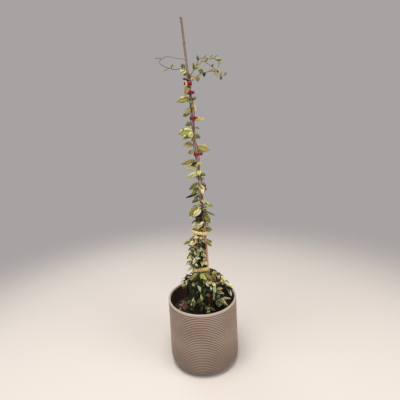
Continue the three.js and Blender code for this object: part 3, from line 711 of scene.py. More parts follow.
def makeSoilTree(squashes, turns):
    tree, given, out = newGeometryTree("soilCrumbs", [
        ("Crumb Density", "Float", 20000.0), ("Smallest", "Float", 0.001), ("Largest", "Float", 0.003),
        ("Seed", "Int", 1), ("Soil Material", "Material", None), ("Crumb Material", "Material", None),
    ])

    def randomVector(limits):
        values = dict(enumerate(limits))
        return addNode(tree, "FunctionNodeRandomValue", values, data_type="FLOAT_VECTOR").outputs[0]

    spread = addNode(tree, "GeometryNodeDistributePointsOnFaces", {
        "Mesh": given["Geometry"], "Density": given["Crumb Density"], "Seed": given["Seed"],
        "Selection": calc(tree, "GREATER_THAN", named(tree, "topShare"), 0.5),
    })
    crumb = addNode(tree, "GeometryNodeMeshIcoSphere", {"Radius": 1.0, "Subdivisions": 1}).outputs[0]
    size = addNode(tree, "FunctionNodeRandomValue", {
        2: given["Smallest"], 3: given["Largest"], "Seed": given["Seed"],
    }).outputs[1]
    strewn = instanced(
        tree, spread.outputs["Points"], crumb,
        Rotation=randomVector(turns), Scale=stretched(tree, randomVector(squashes), size),
    )
    loose = stored(tree, strewn, "isCrumb", True, data_type="BOOLEAN", domain="INSTANCE")
    whole = realized(tree, joinedUp(tree, loose, given["Geometry"]))
    whole = dressedIn(tree, whole, given["Soil Material"])
    tree.links.new(dressedIn(tree, whole, given["Crumb Material"], "isCrumb"), out["Geometry"])
    return tree


def makeSoil(settings):
    edge, size = settings["edge"], settings["lumpSize"]
    edgeRadius = innerRadius(edge) - settings["gap"]
    rows = [(radius, edge - settings["depth"], 0) for radius in (0, edgeRadius - settings["taper"])]
    for ring in range(settings["rings"], -1, -1):
        radius = edgeRadius * ring / settings["rings"]
        mound = settings["mound"] * math.cos(math.pi / 2 * radius / potSet["rimRadius"])
        rows.append((radius, edge + mound, 1))
    mesh = turnedMesh("soil", rows, ["topShare"], settings["sides"])
    for vertex, onTop in zip(mesh.vertices, mesh.attributes["topShare"].data):
        if onTop.value > 0.5 and vertex.co.xy.length / mm < edgeRadius - settings["evenRim"]:
            lump = draw(round(vertex.co.x / mm / size), round(vertex.co.y / mm / size), 0, 0) - 0.5
            vertex.co.z += settings["lumps"] * lump * mm
    return shapedBy(makeSoilTree(settings["squash"], settings["turn"]), "pottingSoil", mesh, {
        "Crumb Density": settings["crumbDensity"], "Smallest": settings["smallest"],
        "Largest": settings["largest"], "Seed": settings["seed"],
        "Soil Material": soilSkin, "Crumb Material": crumbSkin,
    })


finishPiece(makeSoil(soilSet), "potting_soil", "soil")
print("soil made")


# Ties: closed loops of soft tape with a slight bow across their width, the red ones with a short tail

tapeSet = {
    "thickness": 0.75, "rows": 5, "steps": 72, "redHeight": 11, "redLoop": 11.05, "bow": 0.35,
    "crumple": 0.22, "crumpleWaves": (5, 11), "crumpleLift": 0.3, "endBlend": 9, "tailSteps": 8,
    "tailOverlap": 0.2, "tailRipple": 0.7, "rippleStep": 0.9, "tailPinch": 0.3, "pinchFrom": 0.3,
}
ties = [
    {"node": "yellow_tie_lower", "centre": (-0.6, 0, 427), "half": (35.9, 19), "height": 17, "slope": 0.06},
    {"node": "yellow_tie_upper", "centre": (1, 3, 595), "half": (30.4, 20), "height": 14, "slope": -0.22},
    {"node": "red_tie_1", "at": 1186, "tail": (9, 200)},
    {"node": "red_tie_2", "at": 1154, "tail": (7, 340)},
    {"node": "red_tie_3", "at": 1060, "tail": (10, 330)},
    {"node": "red_tie_4", "at": 922, "tail": (12, 350)},
    {"node": "red_tie_5", "centre": (28.5, -4, 792), "half": (1.7, 1.7), "height": 14, "lean": 0,
     "tail": (8, 350)},
]


def tapeFaces(points, faces, columns, closed):  # an inner and an outer sheet joined along their edges
    around = 2 * len(columns[0][0])
    starts = [len(points) + around * i for i in range(len(columns))]
    for outer, inner in columns:
        points += [*outer, *reversed(inner)]
    for i in range(len(columns) - (0 if closed else 1)):
        here, after = starts[i], starts[(i + 1) % len(columns)]
        for k in range(around):
            m = (k + 1) % around
            faces.append([here + k, after + k, after + m, here + m])
    if not closed:
        faces.append([starts[0] + k for k in range(around)])
        faces.append([starts[-1] + k for k in reversed(range(around))])


def makeTie(tie, settings):
    height = tie.get("height", settings["redHeight"])
    x, y, z = tie.get("centre") or (caneCentre(tie["at"]), 0, tie["at"])
    halfLong, halfShort = tie.get("half", (settings["redLoop"], settings["redLoop"]))
    lean = tie.get("lean", (caneCentre(z + height) - caneCentre(z)) / height)
    seed, thickness, last = len(tie["node"]) + z, settings["thickness"], settings["tailSteps"]
    shares = [row / (settings["rows"] - 1) for row in range(settings["rows"])]

    def place(flatX, flatY, level):
        return Vector((x + flatX + lean * level, y + flatY, z + level + tie.get("slope", 0) * flatX))

    def loopLine(angle, grow):  # one upright line of the loop
        first, second = settings["crumpleWaves"]
        crumple = settings["crumple"] * math.sin(first * angle + seed) * math.sin(second * angle)
        side = math.copysign(min(1.0, abs(math.cos(angle)) * settings["endBlend"]), math.cos(angle))
        line = []
        for share in shares:
            radius = halfShort + grow + settings["bow"] * (share * (1 - share) * 4 - 1) + crumple * grow
            flatX = radius * math.cos(angle) + side * (halfLong - halfShort)
            level = share * height + settings["crumpleLift"] * crumple
            line.append(place(flatX, radius * math.sin(angle), level))
        return line

    def tailLine(step, grow):  # one upright line of the tail
        length, heading = tie["tail"][0], math.radians(tie["tail"][1])
        reach = halfLong - settings["tailOverlap"] + length * step / last
        ripple = settings["tailRipple"] * math.sin(step * settings["rippleStep"] + seed) * step / last
        flatX = reach * math.cos(heading) - (grow + ripple) * math.sin(heading)
        flatY = reach * math.sin(heading) + (grow + ripple) * math.cos(heading)
        narrow = settings["tailPinch"] * smoothStep(1 - step / last, settings["pinchFrom"], 1.0)
        return [place(flatX, flatY, height * mixNumber(narrow, 1 - narrow, share)) for share in shares]

    points, faces = [], []
    angles = [2 * math.pi * (i + 0.5) / settings["steps"] for i in range(settings["steps"])]
    tapeFaces(points, faces, [(loopLine(angle, thickness), loopLine(angle, 0)) for angle in angles], True)
    if "tail" in tie:
        tail = [(tailLine(step, -thickness / 2), tailLine(step, thickness / 2)) for step in range(last + 1)]
        tapeFaces(points, faces, tail, False)
    mesh = smoothMesh(tie["node"], points, faces)
    yellow = tie["node"].startswith("yellow")
    mesh.materials.append(yellowTape if yellow else redTape)
    piece = newPiece(pieceName(tie["node"]), mesh)
    finishPiece(piece, "yellow_tape" if yellow else "red_tape", tie["node"])


for tie in ties:
    makeTie(tie, tapeSet)
print("ties made")


# Stems of the plant, in millimetres

climberSet = {
    "radius": 8.4, "pitch": 300, "joinLength": 95, "step": 32, "sway": 2.2, "swayFrom": (270, 340),
    "swayLengths": (37, 41), "leanFrom": 440, "leanSpan": 140, "foot": 202,
}
climbers = [
    {"lane": (8, 1), "phase": 0, "joins": 560, "radius": 2.2, "top": 1252},
    {"lane": (3, 15), "phase": -138, "joins": 645, "radius": 2.0, "top": 1216},
    {"lane": (-4, -9), "phase": 111, "joins": 560, "radius": 1.8, "top": 832},
    {"lane": (-13, 6), "lean": 6, "radius": 1.8, "top": 716},
    {"lane": (-27, 7), "lean": -12, "radius": 1.7, "top": 575},
    {"lane": (-20, -9), "lean": -9, "radius": 1.7, "top": 556},
    {"lane": (21, 9), "lean": 3, "radius": 1.7, "top": 656, "bareTo": 600},
]
twig = {
    "radius": 1.0, "height": 822, "points": [(24, 0, 820), (28, -3, 814), (28.5, -4, 804), (28.5, -4, 786)],
}
topShoots = [  # each grows on a climber, given by its row and the height
    {
        "node": "loop_shoot_left", "grownOn": (0, 1250), "branches": [
            [(-36, 3, 1246), (-58, 1, 1243), (-81, -2, 1249), (-101, -3, 1257), (-113, -2, 1270),
             (-104, 2, 1282), (-80, 5, 1290), (-58, 7, 1284), (-36, 8, 1281), (-14, 9, 1276)],
            [(-104, 2, 1282), (-118, -2, 1284), (-132, -6, 1282)],
            [(-81, -2, 1249), (-92, -8, 1240)],
        ],
    },
    {
        "node": "arching_shoot_right", "grownOn": (1, 1216), "branches": [
            [(6, 0, 1231), (16, 1, 1245), (33, 2, 1275), (50, 4, 1278), (72, 6, 1278), (92, 6, 1275),
             (104, 4, 1265), (105, 1, 1250), (96, -1, 1236)],
            [(21, 1, 1253), (30, -6, 1256), (45, -12, 1265), (60, -14, 1258), (76, -14, 1246),
             (90, -13, 1236)],
        ],
    },
    {
        "node": "trailing_shoot_right", "grownOn": (1, 1198), "branches": [
            [(12, -9, 1207), (26, -10, 1217), (47, -9, 1226), (66, -6, 1229), (84, -4, 1230),
             (96, -5, 1219), (108, -7, 1213), (122, -8, 1213), (133, -8, 1217)],
        ],
    },
]
bushSet = {
    "centre": (0, 4), "ground": 226, "rootDepth": 24, "neck": 12, "bends": (0.12, 0.42, 0.78), "arch": 0.62,
    "pairs": 5, "firstPair": 3.1, "lastPair": 1.12, "spreads": (46, 76),
}
basalShoots = [  # direction, reach, height of the arch, height of the tip, distance of the foot
    (270, 78, 372, 300, 42), (312, 98, 388, 320, 42), (352, 112, 404, 342, 44), (28, 114, 412, 358, 42),
    (72, 92, 404, 344, 42), (114, 84, 396, 338, 42), (158, 76, 392, 366, 42), (196, 66, 388, 356, 42),
    (232, 70, 374, 312, 42), (24, 62, 436, 398, 34), (250, 46, 426, 380, 24), (290, 52, 430, 372, 26),
    (328, 74, 424, 356, 30), (292, 86, 300, 254, 62), (336, 104, 312, 272, 66), (196, 98, 288, 262, 64),
]
firstNumber = {"climber": 1, "top": 11, "basal": 21}
shootRadius = {"top": 1.2, "basal": 1.7, "dry": 1.6}


def climberRun(climber, number):
    rule = climberSet
    steps = round((climber["top"] - rule["foot"]) / rule["step"])
    run = []
    for step in range(steps + 1):
        height = mixNumber(rule["foot"], climber["top"], step / steps)
        sway = rule["sway"] * smoothStep(height, *rule["swayFrom"])
        lift = max(0.0, height - rule["leanFrom"]) / rule["leanSpan"]
        x = climber["lane"][0] + sway * math.sin(height / rule["swayLengths"][0] + 2 * number)
        x += climber.get("lean", 0) * lift
        y = climber["lane"][1] + sway * math.cos(height / rule["swayLengths"][1] + 3 * number)
        if "phase" in climber:
            join = smoothStep(height, climber["joins"], climber["joins"] + rule["joinLength"])
            turns = (height - climbers[0]["top"]) / rule["pitch"]
            angle = math.radians(180 + climber["phase"] + 360 * turns)
            x += join * (caneCentre(height) + rule["radius"] * math.cos(angle) - x)
            y += join * (rule["radius"] * math.sin(angle) - y)
        run.append(Vector((x, y, height)))
    return run


def basalRun(direction, reach, peak, tip, foot):
    angle, (x, y) = math.radians(direction), bushSet["centre"]
    ground, arch, span = bushSet["ground"], bushSet["arch"], reach - foot
    heights = (mixNumber(ground, peak, arch), peak, mixNumber(tip, peak, arch))

    def at(radius, height):
        return Vector((x + radius * math.cos(angle), y + radius * math.sin(angle), height))

    bends = [at(foot + share * span, height) for share, height in zip(bushSet["bends"], heights)]
    above = smoothRun([at(foot, ground + bushSet["neck"]), *bends, at(reach, tip)], 2)
    return [at(foot, ground - bushSet["rootDepth"]), *above]


def gatherStems():
    stems = []
    for i, climber in enumerate(climbers):
        number = firstNumber["climber"] + i
        runs = [climberRun(climber, number)]
        if i == 0:
            start = pointAlong(runs[0], placeAtHeight(runs[0], twig["height"]))
            runs.append(smoothRun([start, *map(Vector, twig["points"])], 2))
        node = f"climbing_stem_{number}"
        stems.append({**climber, "node": node, "number": number, "runs": runs, "kind": "climber"})
    for i, shoot in enumerate(topShoots):
        parent, height = shoot["grownOn"]
        trunk = stems[parent]["runs"][0]
        branches = [[Vector(point) for point in branch] for branch in shoot["branches"]]
        branches[0].insert(0, pointAlong(trunk, placeAtHeight(trunk, height)))
        stems.append({
            "node": shoot["node"], "number": firstNumber["top"] + i, "kind": "top",
            "runs": [smoothRun(branch, 2) for branch in branches], "radius": shootRadius["top"],
        })
    for i, row in enumerate(basalShoots):
        dry = i == len(basalShoots) - 1
        stems.append({
            "node": "dry_shoot" if dry else f"basal_shoot_{i + 1:02d}", "number": firstNumber["basal"] + i,
            "kind": "basal", "runs": [basalRun(*row)], "radius": shootRadius["dry" if dry else "basal"],
            "direction": row[0], "dry": dry,
        })
    return stems


# Leaves: the same seeded tries as in the CAD part, and each leaf takes the one that its CAD node holds

# the shade tone is painted shade: a near-black leaf put where the plant is in shadow. The dark tone is a dark
# green leaf, darkened further as painted shade.
leafTones = {  # body, margin, share of the blade that the margin takes
    "gold": ("7f7840", "9f9459", 0.3), "olive": ("66662f", "8f8a4c", 0.22),
    "cream": ("9d9a5e", "d6cc9c", 0.55), "pale": ("bdb488", "dcd4ae", 0.6),
    "green": ("505f28", "8c9654", 0.2), "dark": ("22240f", "3a3c1c", 0.15),
    "bright": ("7a9440", "adb970", 0.3), "bronze": ("72603a", "9c8852", 0.3),
    "varied": ("525f30", "cfc8a0", 0.42), "tan": ("96815a", "b9a67c", 0.4),
    "peach": ("ab9266", "cfba90", 0.5), "dry": ("6b4c3c", "b08c78", 0.3),
    "mottled": ("828848", "bdba86", 0.5), "blush": ("a3966e", "c9b88e", 0.55),
    "white": ("b8bf96", "e2e1c6", 0.55), "beige": ("7f7048", "a8976c", 0.4),
    "moss": ("5e6230", "92905a", 0.25), "deep": ("303618", "66683a", 0.22),
    "shade": ("171a0d", "252912", 0.15), "lime": ("748030", "a2a656", 0.4),
    "straw": ("92874e", "aca06c", 0.35), "sage": ("7c8044", "a3a168", 0.38),
    "fresh": ("78844f", "a0ab7c", 0.5),
}
# the low rows and the shade tone give painted shade: near-black leaves low in the bush
toneRegions = [  # lowest height as seen, tones left of the cane, tones right of it
    (1100, ("gold", "gold", "bronze", "olive"), ("gold", "bronze", "olive")),
    (610, ("cream", "gold", "olive", "mottled", "dark"), ("olive", "gold", "mottled", "dark", "gold")),
    (545, ("cream", "blush", "peach", "cream", "olive", "dark"), ("pale", "cream", "olive", "tan")),
    (432, ("shade", "moss", "cream", "pale", "shade", "mottled", "white", "olive"),
     ("green", "pale", "shade", "cream", "varied", "shade")),
    (356, ("green", "shade", "moss", "mottled", "dark", "shade", "deep"),
     ("olive", "mottled", "gold", "dark", "tan", "shade", "deep", "bronze")),
    (285, ("shade", "dark", "shade", "deep", "shade"), ("dark", "shade", "deep", "varied", "shade")),
    (0, ("shade", "dark", "shade", "deep"), ("shade", "dark", "shade", "deep", "varied")),
]
outerTones = {"dark": "mottled", "green": "varied"}  # on the column, away from its middle
columnMiddle = {"x": -8, "half": 20}
# a shade accent puts a near-black leaf, painted shade, where a gap in the plant is in shadow
accents = [  # leaves that stand out, by where the camera sees them: across, height, tone
    (-31, 696, "gold"), (-6, 692, "pale"), (37, 686, "green"), (3, 670, "shade"), (16, 667, "shade"),
    (41, 662, "olive"), (10, 643, "cream"), (-18, 641, "cream"), (2, 633, "white"), (45, 606, "gold"),
    (-18, 583, "tan"), (-5, 578, "blush"), (-31, 557, "blush"), (-2, 557, "white"), (40, 550, "bronze"),
    (15, 549, "shade"), (6, 541, "shade"), (-11, 530, "olive"), (-30, 527, "cream"), (-32, 510, "moss"),
    (-7, 506, "fresh"), (-18, 498, "shade"), (14, 496, "varied"), (-49, 488, "mottled"),
    (-14, 482, "white"), (-9, 465, "shade"), (-62, 463, "pale"), (-37, 462, "mottled"),
    (10, 457, "mottled"), (-14, 444, "shade"), (-52, 500, "varied"), (-58, 556, "olive"),
    (26, 412, "green"), (10, 415, "shade"), (-22, 413, "dark"), (31, 393, "bronze"), (62, 407, "gold"),
    (10, 395, "lime"), (-25, 394, "mottled"), (71, 391, "tan"), (16, 387, "lime"), (-62, 377, "moss"),
    (-62, 399, "moss"), (-79, 382, "mottled"), (-50, 386, "olive"), (-15, 374, "shade"),
    (100, 370, "cream"), (2, 368, "shade"), (77, 362, "shade"), (39, 361, "cream"), (85, 359, "olive"),
    (56, 358, "cream"), (26, 357, "white"), (-70, 353, "deep"), (125, 351, "mottled"),
    (-43, 347, "shade"), (10, 344, "green"), (125, 342, "pale"), (-5, 337, "fresh"), (37, 337, "white"),
    (80, 334, "tan"), (52, 329, "fresh"), (107, 325, "shade"), (13, 324, "shade"), (-51, 323, "dark"),
    (38, 322, "shade"), (-31, 321, "shade"), (80, 320, "bronze"), (64, 308, "shade"), (120, 307, "white"),
    (23, 306, "mottled"), (77, 305, "white"), (-4, 300, "fresh"), (49, 299, "white"), (101, 296, "cream"),
    (119, 282, "varied"), (41, 282, "moss"), (9, 279, "shade"), (-38, 277, "pale"), (69, 275, "deep"),
    (93, 271, "cream"), (47, 267, "shade"), (-37, 262, "cream"), (-21, 261, "shade"),
    (109, 255, "varied"), (64, 245, "shade"), (86, 244, "shade"), (-49, 237, "deep"), (20, 230, "gold"),
    (-21, 225, "dark"),
]
upperLeaves = {  # height on the stem, tip, width, tone
    "climbing_stem_1": [
        (1249, -33, -6, 1264, 9, "moss"), (1240, -40, -8, 1233, 13, "mottled"),
        (1218, -38, -10, 1232, 15, "bright"), (1206, -32, -12, 1206, 12, "dark"),
        (1134, 20, -6, 1141, 15, "gold"), (1118, 13, -14, 1085, 15, "tan"),
        (1056, 42, -12, 1064, 22, "gold"), (1018, -62, -10, 1011, 30, "sage"),
        (1010, -22, -24, 998, 20, "mottled"), (997, -47, -12, 986, 17, "gold"),
        (962, -45, -8, 966, 29, "straw"), (943, -28, 4, 932, 14, "gold"), (904, -59, -6, 892, 18, "gold"),
        (894, 0, 36, 884, 20, "olive"), (880, -43, -8, 869, 18, "straw"), (850, 40, 20, 838, 20, "green"),
        (797, 29, -18, 774, 18, "blush"), (778, 42, -2, 787, 14, "dark"), (764, 17, -18, 780, 16, "tan"),
        (748, 31, -18, 729, 16, "cream"), (706, -22, -18, 675, 22, "cream"),
        (690, -26, 6, 700, 18, "olive"), (650, -8, -20, 619, 20, "cream"),
    ],
    "climbing_stem_2": [
        (1208, -14, -16, 1232, 14, "bronze"), (1176, -27, -22, 1147, 17, "bronze"),
        (1140, -60, -10, 1128, 23, "gold"), (1132, -10, -26, 1118, 18, "green"),
        (1106, -25, -20, 1078, 22, "gold"), (1086, -40, 10, 1076, 16, "olive"),
        (1050, -32, 14, 1040, 20, "olive"), (1000, 26, 28, 990, 22, "green"),
        (958, 59, -6, 940, 29, "straw"), (944, 40, 24, 930, 20, "gold"), (873, 15, -20, 899, 15, "cream"),
        (866, 12, -24, 846, 16, "cream"), (854, -40, -14, 837, 18, "mottled"),
        (817, -32, -16, 788, 18, "olive"), (796, -24, -20, 768, 18, "olive"),
        (772, -50, -6, 753, 10, "dark"), (762, -17, -20, 743, 14, "olive"),
        (740, -24, 24, 724, 20, "olive"), (700, 12, 38, 690, 20, "green"),
    ],
    "climbing_stem_3": [
        (826, -12, 30, 840, 18, "olive"), (826, 34, 26, 822, 18, "gold"), (780, 28, 34, 770, 18, "gold"),
        (735, 48, -4, 717, 16, "cream"), (726, 66, 4, 709, 15, "gold"), (697, 72, 4, 669, 7, "olive"),
        (686, 47, -12, 641, 22, "olive"), (676, 14, -26, 655, 20, "dark"),
    ],
    "climbing_stem_4": [
        (714, -38, -8, 675, 24, "olive"), (708, -30, 22, 690, 18, "olive"),
        (677, -38, -6, 667, 12, "pale"), (645, -26, -10, 633, 13, "cream"),
        (640, -26, 30, 626, 20, "green"),
    ],
    "climbing_stem_7": [
        (640, 48, -2, 625, 18, "gold"), (650, 22, 38, 642, 18, "green"), (613, 58, 2, 604, 24, "gold"),
        (600, 34, 44, 588, 18, "olive"), (569, 46, 6, 541, 12, "green"),
    ],
}
topLeaves = {  # branch, place along it, tip, width, tone
    "loop_shoot_left": [
        (0, 5.2, -60, -10, 1265, 8, "moss"), (0, 1.2, -31, -8, 1262, 9, "green"),
        (2, 1.6, -98, -16, 1234, 6, "moss"),
    ],
    "arching_shoot_right": [
        (0, 3.1, 10, -10, 1264, 9, "green"), (0, 3.5, 33, -12, 1247, 10, "olive"),
        (0, 4.0, 24, 18, 1264, 9, "moss"), (0, 5.6, 26, -6, 1289, 9, "moss"),
        (0, 6.2, 45, -12, 1268, 10, "bronze"), (0, 6.6, 46, 20, 1286, 9, "beige"),
        (0, 8.2, 62, -9, 1287, 9, "moss"), (0, 8.8, 66, 16, 1270, 9, "olive"),
        (0, 9.6, 77, -10, 1269, 9, "moss"), (0, 10.2, 86, 10, 1290, 9, "moss"),
        (0, 11.6, 104, -8, 1285, 10, "olive"), (0, 12.2, 108, 16, 1273, 9, "moss"),
        (0, 13.4, 119, -2, 1270, 10, "bronze"), (0, 14.6, 118, -10, 1254, 8, "olive"),
        (0, 17.6, 86, -8, 1226, 8, "bronze"), (0, 17.85, 104, 6, 1224, 8, "moss"),
        (1, 3.2, 36, -22, 1250, 8, "bronze"), (1, 5.4, 60, -24, 1272, 8, "beige"),
        (1, 8.4, 84, -26, 1252, 8, "moss"), (1, 9.8, 101, -22, 1228, 8, "olive"),
    ],
    "trailing_shoot_right": [
        (0, 4.2, 24, -18, 1194, 16, "bronze"), (0, 6.0, 27, -20, 1234, 20, "moss"),
        (0, 6.4, 50, 12, 1214, 14, "deep"), (0, 8.2, 84, -12, 1238, 10, "beige"),
        (0, 10.2, 92, 8, 1242, 10, "moss"), (0, 10.8, 88, -16, 1214, 10, "beige"),
        (0, 12.4, 103, -14, 1206, 12, "beige"), (0, 14.0, 118, -12, 1231, 11, "beige"),
        (0, 14.4, 112, 6, 1200, 10, "olive"), (0, 16.4, 134, -14, 1228, 9, "beige"),
    ],
}
frontLeaves = {  # more single leaves that show on the column: height on the stem, tip, width, tone
    "climbing_stem_1": [
        (580, -27, -12, 577, 24, "blush"), (560, -12, -14, 554, 17, "pale"),
        (500, -24, -15, 517, 18, "mottled"), (472, 8, -14, 452, 15, "pale"),
        (528, 12, -15, 492, 10, "cream"), (651, -3, -14, 623, 19, "white"),
        (874, -2, -12, 849, 12, "mottled"), (683, -10, -9, 661, 15, "dark"),
        (1192, -26, -12, 1151, 16, "bronze"), (1125, 7, -12, 1088, 18, "tan"),
        (1137, -19, -12, 1126, 16, "bronze"), (1133, 15, -12, 1143, 14, "gold"),
        (946, -22, -13, 927, 12, "gold"), (1240, -29, -12, 1224, 14, "mottled"),
        (1228, -13, -12, 1208, 14, "bronze"), (478, 5, -42, 464, 15, "mottled"),
        (525, 13, -31, 501, 9, "varied"), (1210, -22, -17, 1175, 9, "tan"),
    ],
    "climbing_stem_2": [
        (471, -30, -16, 462, 20, "white"), (903, 11, -16, 877, 14, "varied"),
        (808, 34, -20, 776, 24, "cream"), (749, 46, -12, 716, 17, "varied"), (681, 3, 7, 650, 13, "dark"),
        (1204, -14, -8, 1196, 12, "dark"),
    ],
    "climbing_stem_3": [(533, -27, -25, 546, 15, "olive")],
    "climbing_stem_4": [
        (563, -46, -12, 551, 22, "blush"), (566, -42, -27, 554, 18, "blush"),
        (648, -24, -12, 634, 15, "cream"),
    ],
    "climbing_stem_5": [
        (478, -56, -12, 506, 18, "green"), (470, -65, -12, 457, 12, "pale"),
        (474, -44, -12, 454, 12, "varied"), (492, -54, -36, 497, 13, "mottled"),
    ],
    "climbing_stem_6": [(512, -41, -22, 539, 14, "mottled")],
    "climbing_stem_7": [(567, 52, -12, 538, 17, "bronze")],
}
bushLeaves = {  # leaves that stand out in the bush: place along the shoot, tip, width, tone
    "climbing_stem_3": [(6.67, -47, -24, 391, 15, "mottled")],
    "basal_shoot_01": [(6.5, -4, -91, 332, 15, "fresh")],
    "basal_shoot_02": [
        (4.33, 37, -82, 372, 7, "white"), (5.0, 59, -62, 379, 13, "cream"),
        (6.17, 55, -91, 367, 15, "fresh"), (7.0, 88, -76, 377, 11, "mottled"),
    ],
    "basal_shoot_03": [
        (2.5, 58, -18, 296, 13, "pale"), (8.83, 129, -27, 306, 12, "pale"),
        (8.75, 141, -24, 356, 17, "cream"), (7.5, 89, -26, 363, 12, "blush"),
        (4.83, 77, -37, 401, 14, "tan"), (6.5, 104, -25, 367, 16, "cream"),
    ],
    "basal_shoot_04": [(5.33, 49, -2, 401, 13, "tan")],
    "basal_shoot_09": [(3.17, -51, -74, 301, 12, "pale"), (2.67, -41, -31, 265, 10, "cream")],
    "basal_shoot_11": [
        (4.0, 20, -38, 391, 8, "white"), (8.83, -6, -73, 361, 12, "fresh"),
        (4.83, 21, -66, 414, 19, "lime"), (5.0, -48, -45, 406, 12, "mottled"),
    ],
    "basal_shoot_12": [
        (7.67, 32, -56, 373, 12, "pale"), (2.67, 32, -50, 324, 13, "mottled"),
        (1.5, 29, -63, 255, 12, "gold"),
    ],
    "basal_shoot_13": [
        (3.83, 61, -32, 362, 14, "cream"), (3.83, 41, -59, 382, 12, "cream"),
        (3.17, 39, -30, 341, 10, "pale"),
    ],
    "basal_shoot_15": [
        (5.5, 62, -46, 324, 10, "varied"), (6.0, 86, -47, 286, 14, "cream"),
        (6.33, 124, -48, 309, 8, "varied"), (8.0, 110, -52, 275, 12, "varied"),
    ],
    "dry_shoot": [(2.0, -38, -30, 246, 14, "deep")],
}
leafRule = {
    "thickness": 0.8, "rise": 0.1, "fold": 0.24, "foldedWidth": 22, "widest": 0.92, "roundness": 0.75,
    "checkedAt": 0.68, "tolerance": 0.95,
}
aim = {"attempts": 14, "wander": 3.2, "depthShare": 2.4, "narrowing": 0.025, "rollSpread": 50}
pairRule = {
    "scatterGrowth": 0.25, "droopGrowth": 0.12, "lengthSpread": 0.44, "shortening": 0.03, "width": 0.44,
    "widthSpread": 0.12, "rollSpread": 60, "outward": 0.7,
}
pairTraits = {
    "climber": {"attempts": 8, "scatter": 50, "droop": 34, "droopSpread": 50, "length": 35},
    "basal": {"attempts": 8, "scatter": 60, "droop": 30, "droopSpread": 50, "length": 35},
    "dry": {"attempts": 8, "scatter": 60, "droop": 30, "droopSpread": 50, "length": 28},
}
column = [(446, 592, 22), (618, 704, 29)]  # stretches of the column: from, to, distance of the pairs
columnRule = {"belowTop": 6, "turn": 60, "unevenness": 4}
frontHalf = 12  # leaves with less y than this face the front
spots = {"stretch": 100, "single": 900, "filling": 1000, "end": 1100, "core": 2000}  # first number of a kind
toneDraw, shapeDraw = 60, 61  # draws kept apart from those that place the leaves
checkedAlong = {  # shares of a leaf's length at which it is looked at
    "middle": 0.6, "inTheWay": (0.4, 0.65, 0.9), "edges": (0.25, 0.5, 0.75, 0.99), "lineFrom": 0.2,
    "outline": (0.2, 0.5, 0.8),
}


def aimedTries(base, target, width, stem, spot):
    tries, (x, y, z) = [], target
    for attempt in range(aim["attempts"]):
        wander = aim["wander"] * attempt
        a, b, c, d = (draw(stem, spot, attempt, trait) - 0.5 for trait in (1, 2, 3, 4))
        tries.append({
            "base": base, "tip": Vector((x + wander * a, y + aim["depthShare"] * wander * b, z + wander * c)),
            "facing": Vector((0, -1 if y < frontHalf else 1, 0.5)),
            "width": width * (1 - aim["narrowing"] * attempt),
            "roll": math.radians(aim["rollSpread"] * d), "folded": width >= leafRule["foldedWidth"],
        })
    return tries


def pairTries(base, heading, traits, stem, spot):
    tries, rule = [], pairRule
    for attempt in range(traits["attempts"]):
        a, b, c, d, e = (draw(stem, spot, attempt, trait) - 0.5 for trait in (1, 2, 3, 4, 5))
        azimuth = heading + math.radians(traits["scatter"] * a * (1 + rule["scatterGrowth"] * attempt))
        spread = traits["droopSpread"] * b * (1 + rule["droopGrowth"] * attempt)
        droop = math.radians(traits["droop"] + spread)
        length = traits["length"] * (1 + rule["lengthSpread"] * c) * (1 - rule["shortening"] * attempt)
        level = Vector((math.cos(azimuth), math.sin(azimuth), 0)) * math.cos(droop)
        sideways = Vector((-math.sin(azimuth), math.cos(azimuth), 0))
        towards = math.copysign(1, sideways.y) * (-1 if base.y < frontHalf else 1)
        tries.append({
            "base": base, "tip": base + level * length - up * math.sin(droop) * length,
            "facing": sideways * rule["outward"] * towards + up, "folded": False,
            "width": length * (rule["width"] + rule["widthSpread"] * d),
            "roll": math.radians(rule["rollSpread"] * e),
        })
    return tries


def leafAxes(spec):
    along = spec["tip"] - spec["base"]
    direction = along.normalized()
    face = (spec["facing"] - direction * spec["facing"].dot(direction)).normalized()
    face = Quaternion(direction, spec["roll"]) @ face
    return along, face, face.cross(direction)


def bladePoint(spec, t, edge):
    along, face, side = leafAxes(spec)
    outline = math.sin(math.pi * t ** leafRule["widest"]) ** leafRule["roundness"]
    half = spec["width"] / 2 * outline * abs(edge)
    folded = leafRule["fold"] * half if spec["folded"] else 0
    lift = 4 * leafRule["rise"] * along.length * t * (1 - t) + folded
    return spec["base"] + along * t + side * half * math.copysign(1, edge) + face * lift


def vertexTree(node):
    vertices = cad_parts[node].data.vertices
    tree = KDTree(len(vertices))
    for vertex in vertices:
        tree.insert(vertex.co / mm, vertex.index)
    tree.balance()
    return tree


def heldTry(tries, held):  # the try that the CAD node holds, known by its tip and its two widest edges
    for spec in tries:
        face = leafAxes(spec)[1] * leafRule["thickness"] / 2
        marks = [spec["tip"], *(bladePoint(spec, leafRule["checkedAt"], edge) for edge in (1, -1))]
        off = [min(held.find(mark + face)[2], held.find(mark - face)[2]) for mark in marks]
        if max(off) < leafRule["tolerance"]:
            return spec
    return None


def leafPlace(spec, share):
    return spec["base"].lerp(spec["tip"], share)


def seenPlace(point):  # where the camera sees a point against the plane through the cane's line
    back = cameraSet["distance"] / (cameraSet["distance"] + point.y * mm)
    eye = cameraSet["height"] / mm
    return point.x * back, eye + (point.z - eye) * back


def toneOf(stem, spec, spot):
    if stem.get("dry"):
        return "dry"
    place = leafPlace(spec, checkedAlong["middle"])
    x, height = seenPlace(place)
    left, right = next(row[1:] for row in toneRegions if height >= row[0])
    tones = left if x < 0 else right
    tone = tones[int(draw(stem["number"], spot, toneDraw, 1) * len(tones))]
    # core leaves and shade leaves are painted shade: near-black at the front, dark green (deep) at the back
    if spot >= spots["core"] or tone == "shade":
        return "shade" if place.y < frontHalf else "deep"
    outer = stem["kind"] == "climber" and abs(x - columnMiddle["x"]) > columnMiddle["half"]
    return outerTones.get(tone, tone) if outer else tone


